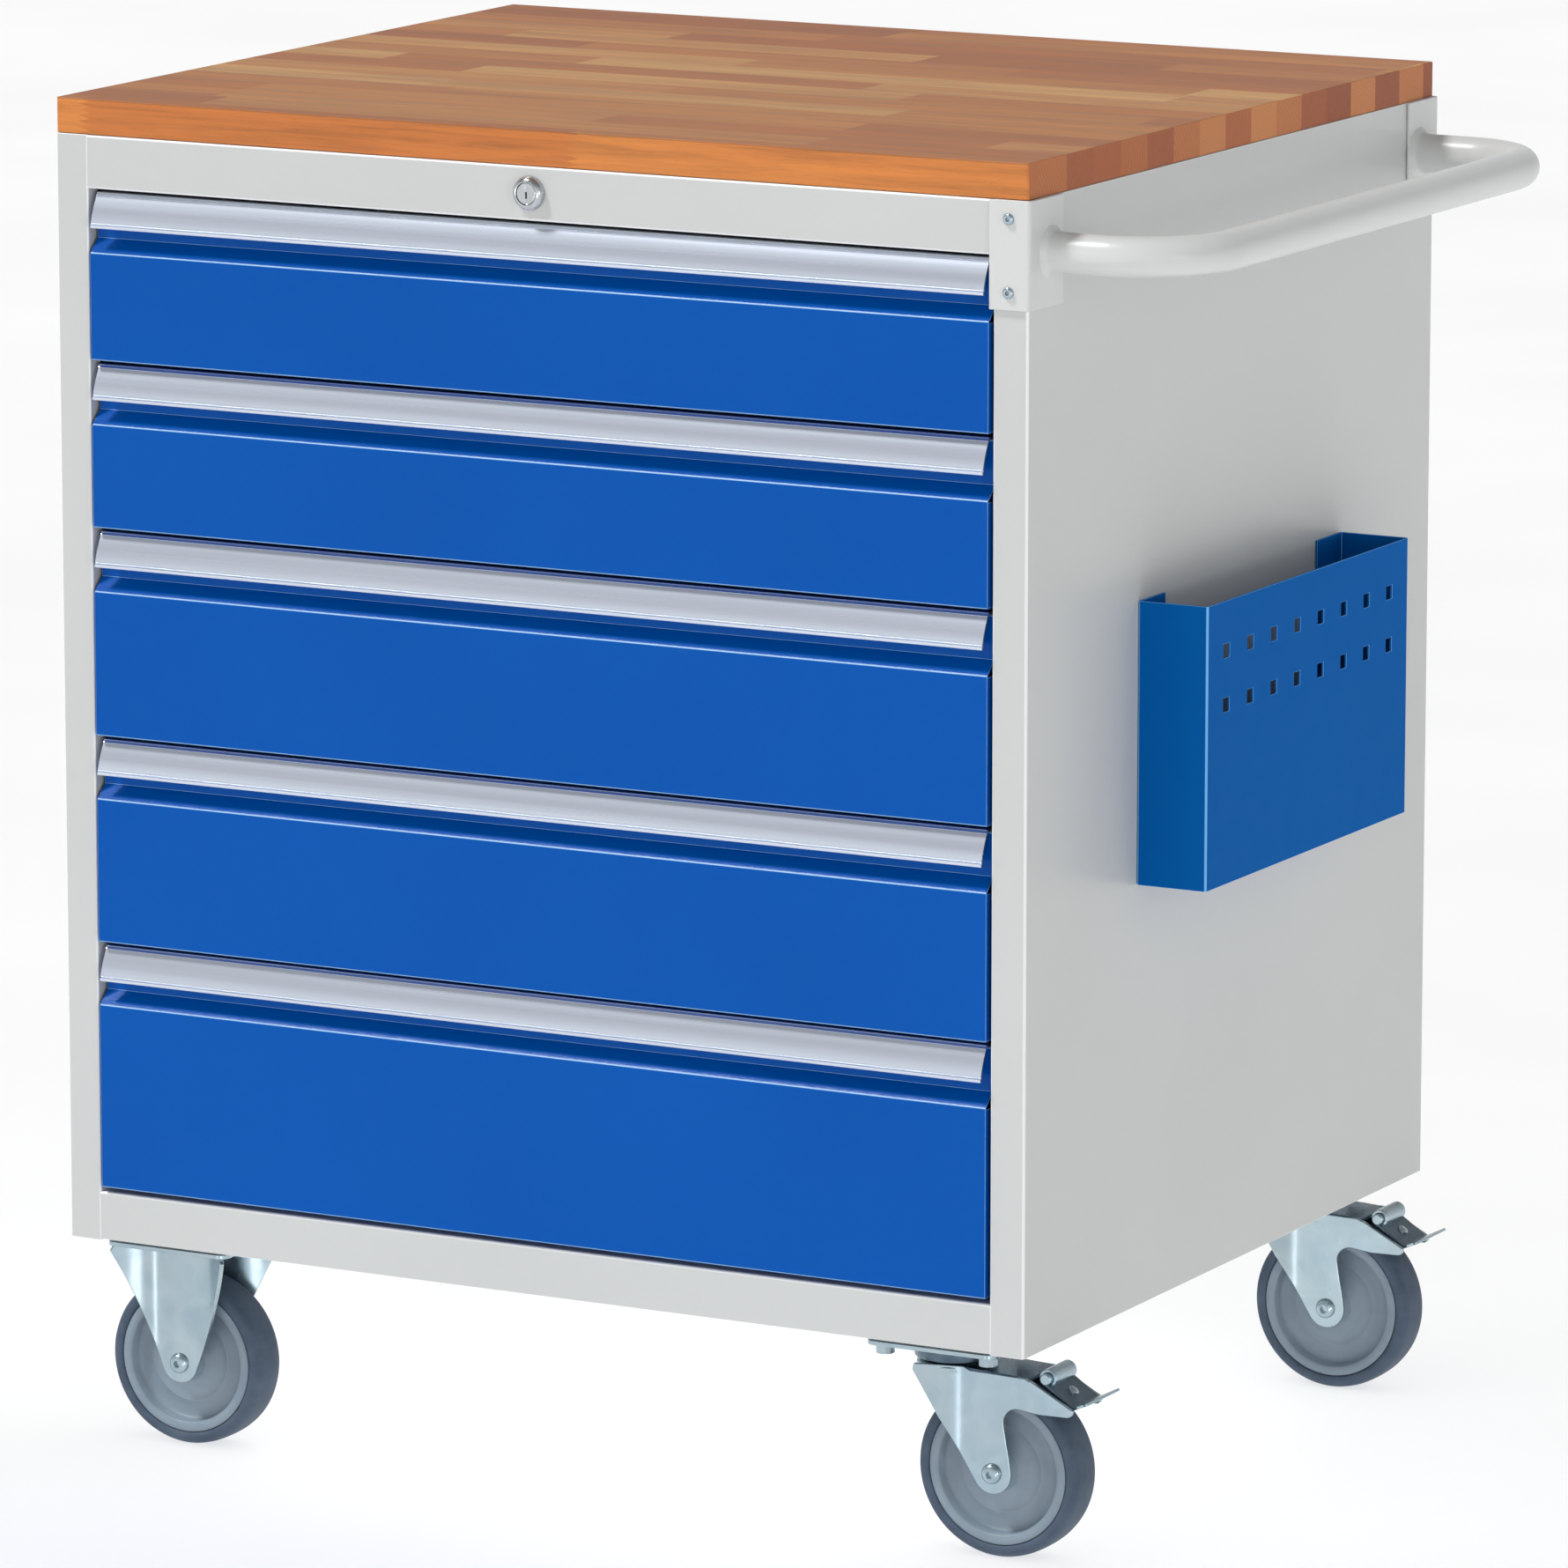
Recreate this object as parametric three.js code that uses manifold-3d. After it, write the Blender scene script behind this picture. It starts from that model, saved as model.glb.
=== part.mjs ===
// Mobile workshop drawer cabinet with a beech worktop, on two fixed and two braked swivel casters.
// Millimetres, +Z up. X runs from the left side to the right side, Y from the front to the back,
// Z from the floor. The exported group is then moved so that the origin is at the centre of the
// whole object's footprint, on the floor.

import * as THREE from 'three';
import { mergeVertices } from 'three/addons/utils/BufferGeometryUtils.js';
import Module from 'manifold-3d';

const wasm = await Module();
wasm.setup();

// ---------------------------------------------------------------- driving dimensions

const GAP = 0.3;                 // clearance between pieces that touch

const BODY = { width: 770, depth: 650, bottom: 155, height: 800 };
const BODY_TOP = BODY.bottom + BODY.height;
const MIDDLE = BODY.width / 2;
const SHEET = 1.5;               // cabinet sheet steel
const STILE = 26.5;              // width of the front flange of a side panel
const RETURN = 14;               // depth of the folded edges
const TOP_RAIL_HEIGHT = 38.5;
const BOTTOM_RAIL_HEIGHT = 36;
const WORKTOP_THICKNESS = 25;

const OPENING_BOTTOM = BODY.bottom + BOTTOM_RAIL_HEIGHT;
const OPENING_TOP = BODY_TOP - TOP_RAIL_HEIGHT;

const DRAWER_PITCHES = [120, 120, 150, 150, 180];   // from the top drawer down
const DRAWER_GAP = 3;            // between one front and the next
const DRAWER_SIDE_GAP = 2.5;     // between a front and the stiles
const DRAWER_TOP_GAP = 2.3;      // between the top front and the top rail
const DRAWER_SHEET = 1.2;
const FRONT_PROUD = 2;           // how far a front stands out of the cabinet's face
const GRIP = { height: 25, recess: 43, lip: 4.5, top: 3, wall: 1.8 };
const RECESS_Y = 5.2;            // face of the finger recess behind the grip
const TRAY = { inset: 22, front: 16.5, back: 606, lift: 8, below_top: 35, slide: 35 };
const SLIDE = { front: 18, back: 600, fixed_half: 17, middle_half: 14.5, rib_half: 6.5 };

const LOCK = { below_top: 19, radius: 11, barrel: 9.2, plug: 6, rod: 4, throw: 8, rod_end: 626 };
const LOCK_BAR = { width: 20, front: 628, back: 632 };
const HOOK = { reach: 12, tooth: 4, clear: 3, bridge: 18, top: 25 };   // heights are above the tray

const HANDLE = { tube: 14, reach: 118, bend: 62, below_top: 38, end_inset: 30 };
const BRACKET = { sheet: 2, height: 75, front_leg: 31, side_leg: 50 };

const POCKET = { front: 169, length: 328, depth: 54, bottom: 457, height: 200, hole: 10, pitch: 38 };

const WHEEL = { radius: 62.5, half_width: 17, rim_radius: 52.7, bore: 6.6, hub_half: 20 };
const CASTER = { plate_bottom: 148, plate_top: 151.5, plate_x: 50, plate_y: 42.5, leg_inner: 21, leg_outer: 24 };
const CASTER_Y = [55, 595];
const FIXED_X = 72;
const SWIVEL_X = 690;
const TRAIL = 40;                // from the swivel axis to the wheel's axle
const AXLE = { shaft: 6, head: 9.5, head_face: 28.5 };
const FACETS = 36;               // sides of a tyre

// ---------------------------------------------------------------- materials

const paint = (color) => new THREE.MeshStandardMaterial({ color, roughness: 0.45, metalness: 0.1 });
const metal = (color) => new THREE.MeshStandardMaterial({ color, roughness: 0.3, metalness: 0.9 });
const lightGrey = paint(0xcfd2d0);
const blue = paint(0x0054b2);
const beech = new THREE.MeshStandardMaterial({ color: 0xc48f63, roughness: 0.55, metalness: 0 });
const aluminium = metal(0xc9ccd8);
const zinc = metal(0xa9b6ba);
const chrome = metal(0xd5d8da);
const slideSteel = metal(0x9aa0a3);
const rimPlastic = new THREE.MeshStandardMaterial({ color: 0x9aa4b5, roughness: 0.5, metalness: 0 });
const rubber = new THREE.MeshStandardMaterial({ color: 0x4a596c, roughness: 0.7, metalness: 0 });

// ---------------------------------------------------------------- geometry helpers

// One closed shell with shared vertices, no collapsed triangles and its faces pointing out.
function shell(geometry) {
  const bare = geometry.clone();
  bare.deleteAttribute('normal');
  bare.deleteAttribute('uv');
  const merged = mergeVertices(bare, 1e-3);
  const place = merged.attributes.position;
  const corner = [new THREE.Vector3(), new THREE.Vector3(), new THREE.Vector3()];
  const kept = [];
  let volume = 0;
  for (let i = 0; i < merged.index.count; i += 3) {
    const [a, b, c] = [0, 1, 2].map((k) => merged.index.getX(i + k));
    if (a === b || b === c || c === a) continue;
    kept.push(a, b, c);
    [a, b, c].forEach((vertex, k) => corner[k].fromBufferAttribute(place, vertex));
    volume += corner[0].dot(corner[1].clone().cross(corner[2]));
  }
  merged.setIndex(volume < 0 ? kept.reverse() : kept);
  return merged;
}

function toSolid(geometry) {
  const closed = shell(geometry);
  const vertProperties = new Float32Array(closed.attributes.position.array);
  const triVerts = new Uint32Array(closed.index.array);
  return new wasm.Manifold(new wasm.Mesh({ numProp: 3, vertProperties, triVerts }));
}

function toGeometry(manifold) {
  const mesh = manifold.getMesh();
  const geometry = new THREE.BufferGeometry();
  geometry.setAttribute('position', new THREE.BufferAttribute(new Float32Array(mesh.vertProperties), 3));
  geometry.setIndex(new THREE.BufferAttribute(new Uint32Array(mesh.triVerts), 1));
  return geometry;
}

function join(...geometries) {
  return toGeometry(geometries.map(toSolid).reduce((sum, next) => sum.add(next)));
}

function cut(base, ...tools) {
  return toGeometry(tools.map(toSolid).reduce((rest, tool) => rest.subtract(tool), toSolid(base)));
}

function box(x0, x1, y0, y1, z0, z1) {
  const geometry = new THREE.BoxGeometry(x1 - x0, y1 - y0, z1 - z0);
  return geometry.translate((x0 + x1) / 2, (y0 + y1) / 2, (z0 + z1) / 2);
}

// An outline of [a, b] points pushed along an axis: a and b are (y, z) for 'x', (x, z) for 'y'
// and (x, y) for 'z'.
function prism(axis, outline, from, to) {
  const shape = new THREE.Shape(outline.map(([a, b]) => new THREE.Vector2(a, b)));
  const geometry = new THREE.ExtrudeGeometry(shape, { depth: to - from, bevelEnabled: false });
  const [x, y, z] = [[1, 0, 0], [0, 1, 0], [0, 0, 1]].map((v) => new THREE.Vector3(...v));
  const turn = new THREE.Matrix4();
  if (axis === 'x') turn.makeBasis(y, z, x).setPosition(from, 0, 0);
  if (axis === 'y') turn.makeBasis(x, z, y.clone().negate()).setPosition(0, to, 0);
  if (axis === 'z') turn.makeBasis(x, y, z).setPosition(0, 0, from);
  return geometry.applyMatrix4(turn);
}

// The closed outline of a folded sheet: the path is one face, and the thickness lies to its left.
function folded(path, thickness) {
  const points = path.map(([a, b]) => new THREE.Vector2(a, b));
  const last = points.length - 1;
  const direction = (i) => points[i + 1].clone().sub(points[i]).normalize();
  const left = (d) => new THREE.Vector2(-d.y, d.x);
  const inner = points.map((point, i) => {
    if (i === 0) return point.clone().addScaledVector(left(direction(0)), thickness);
    if (i === last) return point.clone().addScaledVector(left(direction(last - 1)), thickness);
    const before = left(direction(i - 1));
    const mitre = before.clone().add(left(direction(i))).normalize();
    return point.clone().addScaledVector(mitre, thickness / mitre.dot(before));
  });
  return [...points, ...inner.reverse()].map((p) => [p.x, p.y]);
}

// A profile of [radius, height] points turned about the Y axis; it closes on itself.
function turned(profile, sides, start = 0) {
  const points = [...profile, profile[0]].map(([r, h]) => new THREE.Vector2(r, h));
  return new THREE.LatheGeometry(points, sides, start);
}

function rod(radius, y0, y1, x, z, sides = 20) {
  const geometry = new THREE.CylinderGeometry(radius, radius, y1 - y0, sides);
  return geometry.translate(x, (y0 + y1) / 2, z);
}

function post(radius, z0, z1, x, y, sides = 28) {
  const geometry = new THREE.CylinderGeometry(radius, radius, z1 - z0, sides);
  return geometry.rotateX(Math.PI / 2).translate(x, y, (z0 + z1) / 2);
}

function arc(x, y, radius, from, to, steps) {
  return Array.from({ length: steps + 1 }, (_, i) => {
    const angle = THREE.MathUtils.degToRad(from + ((to - from) * i) / steps);
    return [x + radius * Math.cos(angle), y + radius * Math.sin(angle)];
  });
}

const mirrored = (outline) => outline.map(([x, other]) => [BODY.width - x, other]);

const cart = new THREE.Group();

function add(name, geometry, material, parent = cart) {
  const mesh = new THREE.Mesh(shell(geometry), material);
  mesh.name = name;
  parent.add(mesh);
}

// ---------------------------------------------------------------- cabinet body

function worktop() {
  const slab = new THREE.Shape(
    [[0, 0], [BODY.width, 0], [BODY.width, BODY.depth], [0, BODY.depth]].map((p) => new THREE.Vector2(...p)),
  );
  const edge = 1.5;
  const geometry = new THREE.ExtrudeGeometry(slab, {
    depth: WORKTOP_THICKNESS - 2 * edge,
    bevelThickness: edge,
    bevelSize: edge,
    bevelOffset: -edge,
    bevelSegments: 1,
  });
  add('worktop', geometry.translate(0, 0, BODY_TOP + edge), beech);
}

// A side wall folded from one sheet: front stile with its return, wall, rear flange.
function sidePanels() {
  const wall = folded([
    [STILE, RETURN],
    [STILE, 0],
    [0, 0],
    [0, BODY.depth],
    [20, BODY.depth],
  ].reverse(), SHEET);
  add('side_panel_left', prism('z', wall, BODY.bottom, BODY_TOP - GAP), lightGrey);
  add('side_panel_right', prism('z', mirrored(wall), BODY.bottom, BODY_TOP - GAP), lightGrey);
}

// The front and rear walls between the side panels, and the sheets that close the top and bottom.
function crossPanels() {
  const inside = [SHEET + GAP, BODY.width - SHEET - GAP];
  const between = [STILE + GAP, BODY.width - STILE - GAP];
  const top = BODY_TOP - GAP;

  const topRail = folded([[20, top], [0, top], [0, OPENING_TOP], [RETURN, OPENING_TOP]], SHEET);
  const lockHole = rod(LOCK.barrel + GAP, -10, 10, MIDDLE, BODY_TOP - LOCK.below_top);
  add('top_rail', cut(prism('x', topRail, ...between), lockHole), lightGrey);

  const bottomRail = folded([[RETURN, OPENING_BOTTOM], [0, OPENING_BOTTOM], [0, BODY.bottom + 1]], SHEET);
  add('bottom_rail', prism('x', bottomRail, ...between), lightGrey);

  const rearFace = BODY.depth - SHEET - GAP;
  const rearFold = rearFace - 12;
  const back = folded([
    [rearFold, BODY.bottom + 6],
    [rearFace, BODY.bottom + 6],
    [rearFace, top - 4],
    [rearFold, top - 4],
  ], SHEET);
  add('back_panel', prism('x', back, ...inside), lightGrey);

  const cover = folded([
    [inside[0], top - 22],
    [inside[0], top],
    [inside[1], top],
    [inside[1], top - 22],
  ].reverse(), SHEET);
  add('top_panel', prism('y', cover, 22, rearFold - GAP), lightGrey);

  // The bottom sheet carries two doubler strips that the casters are bolted to.
  const floor = BODY.bottom + GAP;
  const tray = folded([
    [inside[0], floor + 30],
    [inside[0], floor],
    [inside[1], floor],
    [inside[1], floor + 30],
  ], 2);
  const doubler = (x) => box(x - 52, x + 52, 18, 632, CASTER.plate_top + GAP, floor + 1);
  const sheet = prism('y', tray, RETURN + 2, rearFold - GAP);
  add('base_panel', join(sheet, doubler(FIXED_X), doubler(SWIVEL_X)), lightGrey);
}

// Runner frame: two uprights against a side wall, with one fixed slide rail for each drawer.
function runnerFrames(drawers) {
  const wallSide = 4.5;
  const railFace = STILE;
  const upright = (y) => folded([
    [railFace + 1, y],
    [wallSide, y],
    [wallSide, y + 30],
    [railFace + 1, y + 30],
  ].reverse(), SHEET);
  const rail = (z) => folded([
    [railFace + 9, z + SLIDE.fixed_half],
    [railFace, z + SLIDE.fixed_half],
    [railFace, z - SLIDE.fixed_half],
    [railFace + 9, z - SLIDE.fixed_half],
  ], SHEET);
  const frame = (side) => join(
    ...[40, 560].map((y) => prism('z', side(upright(y)), OPENING_BOTTOM - 5, OPENING_TOP - 4)),
    ...drawers.map((drawer) => prism('y', side(rail(drawer.slideZ)), SLIDE.front, SLIDE.back)),
  );
  add('runner_frame_left', frame((outline) => outline), slideSteel);
  add('runner_frame_right', frame(mirrored), slideSteel);
}

// ---------------------------------------------------------------- drawers

// Heights of every drawer, worked out from the bottom of the opening up.
function drawerLayout() {
  const firstBottom = OPENING_BOTTOM + 3.75;
  return DRAWER_PITCHES.map((pitch, i) => {
    const below = DRAWER_PITCHES.slice(i + 1).reduce((sum, p) => sum + p, 0);
    const bottom = firstBottom + below;
    const top = i === 0 ? OPENING_TOP - DRAWER_TOP_GAP : bottom + pitch - DRAWER_GAP;
    const trayBottom = bottom + TRAY.lift;
    const trayTop = trayBottom + pitch - TRAY.below_top;
    return { name: `drawer_${i + 1}`, bottom, top, trayBottom, trayTop, slideZ: trayBottom + TRAY.slide };
  });
}

function drawer({ name, bottom, top, trayBottom, trayTop, slideZ }) {
  const group = new THREE.Group();
  cart.add(group);
  const left = STILE + DRAWER_SIDE_GAP;
  const right = BODY.width - left;
  const face = -FRONT_PROUD;

  // Front sheet: flat face, sharp bend, finger recess and a fold under the grip.
  const recessTop = top - GRIP.wall - GAP;
  const front = folded([
    [RETURN, bottom],
    [face, bottom],
    [face, top - GRIP.recess],
    [RECESS_Y, top - GRIP.recess + 7],
    [RECESS_Y, recessTop],
    [RETURN, recessTop],
  ].reverse(), DRAWER_SHEET);
  add(`${name}_front`, prism('x', front, left, right), blue, group);

  // Grip strip: a thin curved lip that leans out over the recess.
  const curve = [0, 0.25, 0.5, 0.75, 1].map((t) => [
    GRIP.top - (GRIP.top + GRIP.lip) * Math.sin((t * Math.PI) / 2),
    top - 2 - (GRIP.height - 5) * t,
  ]);
  const grip = folded([
    [RETURN, top],
    [GRIP.top + 1, top],
    ...curve,
    [-GRIP.lip, top - GRIP.height],
  ], GRIP.wall);
  add(`${name}_grip`, prism('x', grip, left, right), aluminium, group);

  // Tray: an open box with the inner slide rails along its sides.
  const side = STILE + TRAY.inset;
  const opposite = BODY.width - side;
  const w = DRAWER_SHEET;
  const outer = box(side, opposite, TRAY.front, TRAY.back, trayBottom, trayTop);
  const inner = box(side + w, opposite - w, TRAY.front + w, TRAY.back - w, trayBottom + w, trayTop + 5);
  const tip = SLIDE.rib_half;
  const rib = (x0, x1) => box(x0, x1, SLIDE.front + 2, SLIDE.back, slideZ - tip, slideZ + tip);
  const rim = STILE + 10.5;
  const ribs = [rib(rim, side + w / 2), rib(opposite - w / 2, BODY.width - rim)];
  add(`${name}_tray`, join(cut(outer, inner), ...ribs), blue, group);

  // Middle slide members, grooved for the tray's rails.
  const [back, nose] = [STILE + 2.5, STILE + 14.5];
  const groove = [nose - 5.5, tip + 1];
  const middle = [
    [back, slideZ - SLIDE.middle_half],
    [nose, slideZ - SLIDE.middle_half],
    [nose, slideZ - groove[1]],
    [groove[0], slideZ - groove[1]],
    [groove[0], slideZ + groove[1]],
    [nose, slideZ + groove[1]],
    [nose, slideZ + SLIDE.middle_half],
    [back, slideZ + SLIDE.middle_half],
  ];
  const span = [SLIDE.front + 2, SLIDE.back];
  add(`${name}_slide_left`, prism('y', middle, ...span), slideSteel, group);
  add(`${name}_slide_right`, prism('y', mirrored(middle), ...span), slideSteel, group);
}

// ---------------------------------------------------------------- central lock

function lock(drawers) {
  const group = new THREE.Group();
  group.position.set(MIDDLE, 0, BODY_TOP - LOCK.below_top);
  cart.add(group);

  const bore = LOCK.plug + GAP;
  const housing = [
    [bore, -3.2],
    [LOCK.radius - 2.5, -3.6],
    [LOCK.radius - 0.6, -2.4],
    [LOCK.radius, -GAP],
    [LOCK.barrel, -GAP],
    [LOCK.barrel, 24],
    [bore, 24],
  ];
  add('lock_housing', turned(housing, 20), chrome, group);

  // Plug with its keyway, the long rod to the back and a crank with a pin.
  const plug = rod(LOCK.plug, -2.6, 26, 0, 0, 24);
  const shaft = rod(LOCK.rod, 25, LOCK.rod_end, 0, 0, 12);
  const crank = box(-5, LOCK.throw + 5, LOCK.rod_end - 4, LOCK.rod_end, -5, 5);
  const pin = rod(2.5, LOCK.rod_end - 2, LOCK_BAR.back + 2, LOCK.throw, 0, 12);
  const keyway = box(-0.9, 0.9, -5, 1, -3.6, 3.6);
  add('lock_cylinder', cut(join(plug, shaft, crank, pin), keyway), chrome, group);

  // Lock bar: a vertical flat with a hook over each drawer's rear wall, lifted by the crank pin.
  const [front, back] = [LOCK_BAR.front, LOCK_BAR.back];
  const zero = group.position.z;
  const tip = TRAY.back - HOOK.reach;
  const heel = tip + HOOK.tooth;
  const outline = [[back, 12], [front, 12]];
  drawers.forEach(({ trayTop }) => {
    const [clear, bridge, crest] = [HOOK.clear, HOOK.bridge, HOOK.top].map((h) => trayTop + h - zero);
    outline.push([front, crest], [tip, crest], [tip, clear], [heel, clear], [heel, bridge], [front, bridge]);
  });
  outline.push([back, outline.at(-1)[1]]);
  const half = LOCK_BAR.width / 2;
  const bar = prism('x', outline, -half, half);
  const head = box(-half, 20, front, back, -12, 12);
  const window = box(-5, 13, front - 1, back + 1, -4.8, 4.8);
  add('lock_bar', cut(join(bar, head), window), zinc, group);
}

// ---------------------------------------------------------------- right side fittings

// Push handle: one bent tube welded to an angle bracket round each edge of the right side.
function pushHandle() {
  const wall = BODY.width + GAP;
  const outside = wall + BRACKET.sheet;
  const z = BODY_TOP - HANDLE.below_top;
  const near = HANDLE.end_inset;
  const far = BODY.depth - near;
  const reach = BODY.width + HANDLE.reach - HANDLE.tube;
  const bend = HANDLE.bend;
  const at = ([x, y]) => new THREE.Vector3(x, y, z);
  const centreLine = new THREE.CurvePath();
  const points = [
    [wall + 1, near],
    ...arc(reach - bend, near + bend, bend, -90, 0, 8),
    ...arc(reach - bend, far - bend, bend, 0, 90, 8),
    [wall + 1, far],
  ].map(at);
  points.slice(1).forEach((point, i) => centreLine.add(new THREE.LineCurve3(points[i], point)));
  const round = new THREE.Shape();
  round.absarc(0, 0, HANDLE.tube, 0, Math.PI * 2);
  const tube = new THREE.ExtrudeGeometry(round, { steps: 48, curveSegments: 6, extrudePath: centreLine });

  const bracket = (corner, inward) => folded([
    [outside, corner + inward * BRACKET.side_leg],
    [outside, corner],
    [outside - BRACKET.front_leg, corner],
  ], -inward * BRACKET.sheet);
  const leg = (corner, inward) => prism('z', bracket(corner, inward), BODY_TOP - BRACKET.height, BODY_TOP - GAP);
  const proud = GAP + BRACKET.sheet;
  add('push_handle', join(tube, leg(-proud, 1), leg(BODY.depth + proud, -1)), lightGrey);
}

// Document pocket: one sheet folded round three sides and a bottom, with two rows of square holes.
function documentPocket() {
  const wall = BODY.width + GAP;
  const outer = BODY.width + POCKET.depth;
  const [y0, y1] = [POCKET.front, POCKET.front + POCKET.length];
  const [z0, z1] = [POCKET.bottom, POCKET.bottom + POCKET.height];
  const sheet = folded([
    [wall, y0 + 12],
    [wall, y0],
    [outer, y0],
    [outer, y1],
    [wall, y1],
    [wall, y1 - 28],
  ], SHEET);
  const floor = box(wall, outer - SHEET / 2, y0 + SHEET / 2, y1 - SHEET / 2, z0, z0 + SHEET);
  const holes = [35, 73].flatMap((below) => Array.from({ length: 8 }, (_, i) => {
    const y = y0 + 30 + i * POCKET.pitch;
    const half = POCKET.hole / 2;
    return box(outer - 5, outer + 5, y - half, y + half, z1 - below - half, z1 - below + half);
  }));
  add('document_pocket', cut(join(prism('z', sheet, z0, z1), floor), ...holes), blue);
}

// ---------------------------------------------------------------- casters

// Outline of a leg that narrows from its top corners to a round eye about the axle.
function legOutline(points, axleX) {
  const eye = arc(axleX, WHEEL.radius, 14.5, -150, 0, 8);
  return [...points.left, ...eye, ...points.right];
}

function legs(outline) {
  const { leg_inner: inner, leg_outer: outer } = CASTER;
  return [prism('y', outline, -outer, -inner), prism('y', outline, inner, outer)];
}

function wheel(name, group, x) {
  const centre = new THREE.Group();
  centre.position.set(x, 0, WHEEL.radius);
  group.add(centre);

  const { half_width: w, rim_radius: r, bore, hub_half: hub } = WHEEL;
  const half = [[bore, hub], [14, hub], [15, 9], [40, 7], [47.7, 16], [r, 16]];
  const rim = [...half, ...half.map(([radius, y]) => [radius, -y]).reverse()];
  add(`${name}_rim`, turned(rim, 20), rimPlastic, centre);

  // The flats between the facets touch the floor, so the corners stand a little further out.
  const tread = WHEEL.radius / Math.cos(Math.PI / FACETS);
  const side = [[r + GAP, w - 2], [56, w], [tread - 2.5, w - 2.5], [tread, w - 8]];
  const tyre = [...side, ...side.map(([radius, y]) => [radius, -y]).reverse()];
  add(`${name}_tyre`, turned(tyre, FACETS, Math.PI / FACETS), rubber, centre);

  const { shaft, head, head_face: face } = AXLE;
  const seat = CASTER.leg_outer + GAP;
  const bolt = [
    [0, -face],
    [head - 2, -face],
    [head, -face + 1.5],
    [head, -seat],
    [shaft, -seat],
    [shaft, seat],
    [head, seat],
    [head, face],
    [0, face],
  ];
  add(`${name}_axle`, turned(bolt, 12), zinc, centre);
}

function fixedCaster(name, y) {
  const group = new THREE.Group();
  group.position.set(FIXED_X, y, 0);
  cart.add(group);
  const top = CASTER.plate_bottom + 1;
  const outline = legOutline({
    left: [[-45, top], [-45, 138]],
    right: [[45, 138], [45, top]],
  }, 0);
  const plate = box(
    -CASTER.plate_x, CASTER.plate_x,
    -CASTER.plate_y, CASTER.plate_y,
    CASTER.plate_bottom, CASTER.plate_top,
  );
  const bore = rod(AXLE.shaft + GAP, -30, 30, 0, WHEEL.radius);
  add(`${name}_fork`, cut(join(plate, ...legs(outline)), bore), zinc, group);
  wheel(name, group, 0);
}

function swivelCaster(name, y) {
  const group = new THREE.Group();
  group.position.set(SWIVEL_X, y, 0);
  cart.add(group);
  const crown = { top: 136, bottom: 132.5, radius: 37 };

  // Mounting plate with the ball race under it and the kingpin that holds the crown.
  const plate = join(
    box(-CASTER.plate_x, CASTER.plate_x, -CASTER.plate_y, CASTER.plate_y, CASTER.plate_bottom, CASTER.plate_top),
    post(31, crown.top + GAP, CASTER.plate_bottom + 1, 0, 0),
    post(6, crown.bottom - 3, crown.top + 2, 0, 0, 12),
    post(11, crown.bottom - 4, crown.bottom - GAP, 0, 0, 12),
  );
  add(`${name}_plate`, plate, zinc, group);

  // Fork: round crown, and two legs that trail back to the axle and carry arms for the brake.
  const outline = legOutline({
    left: [[-22, crown.top - 0.5], [-22, 129]],
    right: [
      [TRAIL + 11, 84],
      [TRAIL + 8.5, 99],
      ...arc(TRAIL + 18.5, 99, 10, 170, 80, 4),
      [TRAIL + 56, 109],
      [TRAIL + 62, 113],
      [TRAIL + 29, 131.5],
      [20, crown.top - 0.5],
    ],
  }, TRAIL);
  const disc = post(crown.radius, crown.bottom, crown.top, 0, 0);
  const kingpinHole = post(7, 120, 140, 0, 0, 20);
  const bore = rod(AXLE.shaft + GAP, -30, 30, TRAIL, WHEEL.radius);
  add(`${name}_fork`, cut(join(disc, ...legs(outline)), kingpinHole, bore), zinc, group);

  // Brake pedal: rolled eye on the pivot, sloping tread, turned-up lip and a brake shoe.
  const roll = { x: TRAIL + 39, z: 133, radius: 6 };
  const tread = folded([
    [roll.x + 1, roll.z - 5],
    [TRAIL + 65, 113.5],
    [TRAIL + 78, 121],
  ], 2);
  const shoe = [
    [roll.x + 4, 127.5],
    [roll.x - 1, 122],
    [roll.x + 3, 113.8],
    [roll.x + 16, 120.5],
  ];
  const width = CASTER.leg_inner - 1;
  const pedal = join(
    rod(roll.radius, -width, width, roll.x, roll.z, 20),
    prism('y', tread, -width, width),
    prism('y', shoe, -12, 12),
  );
  add(`${name}_brake_pedal`, pedal, zinc, group);
  wheel(name, group, TRAIL);
}

// ---------------------------------------------------------------- assembly

const drawers = drawerLayout();
worktop();
sidePanels();
crossPanels();
runnerFrames(drawers);
drawers.forEach(drawer);
lock(drawers);
pushHandle();
documentPocket();
['front', 'rear'].forEach((end, i) => {
  fixedCaster(`${end}_left`, CASTER_Y[i]);
  swivelCaster(`${end}_right`, CASTER_Y[i]);
});

// Origin at the centre of the whole footprint, on the floor.
const footprint = new THREE.Box3().setFromObject(cart);
cart.position.set(
  -(footprint.min.x + footprint.max.x) / 2,
  -(footprint.min.y + footprint.max.y) / 2,
  0,
);

export default cart;
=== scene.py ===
"""The looks of a mobile workbench with drawers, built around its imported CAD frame.

Shapes are worked out in cabinet millimetres: X from the left side, Y from the front face and Z from
the floor. add_piece() turns them into metres in the row frame.
"""
from math import acos, atan2, ceil, copysign, cos, degrees, hypot, pi, radians, sin, tan

import bmesh
import bpy
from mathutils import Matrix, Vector, geometry


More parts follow.
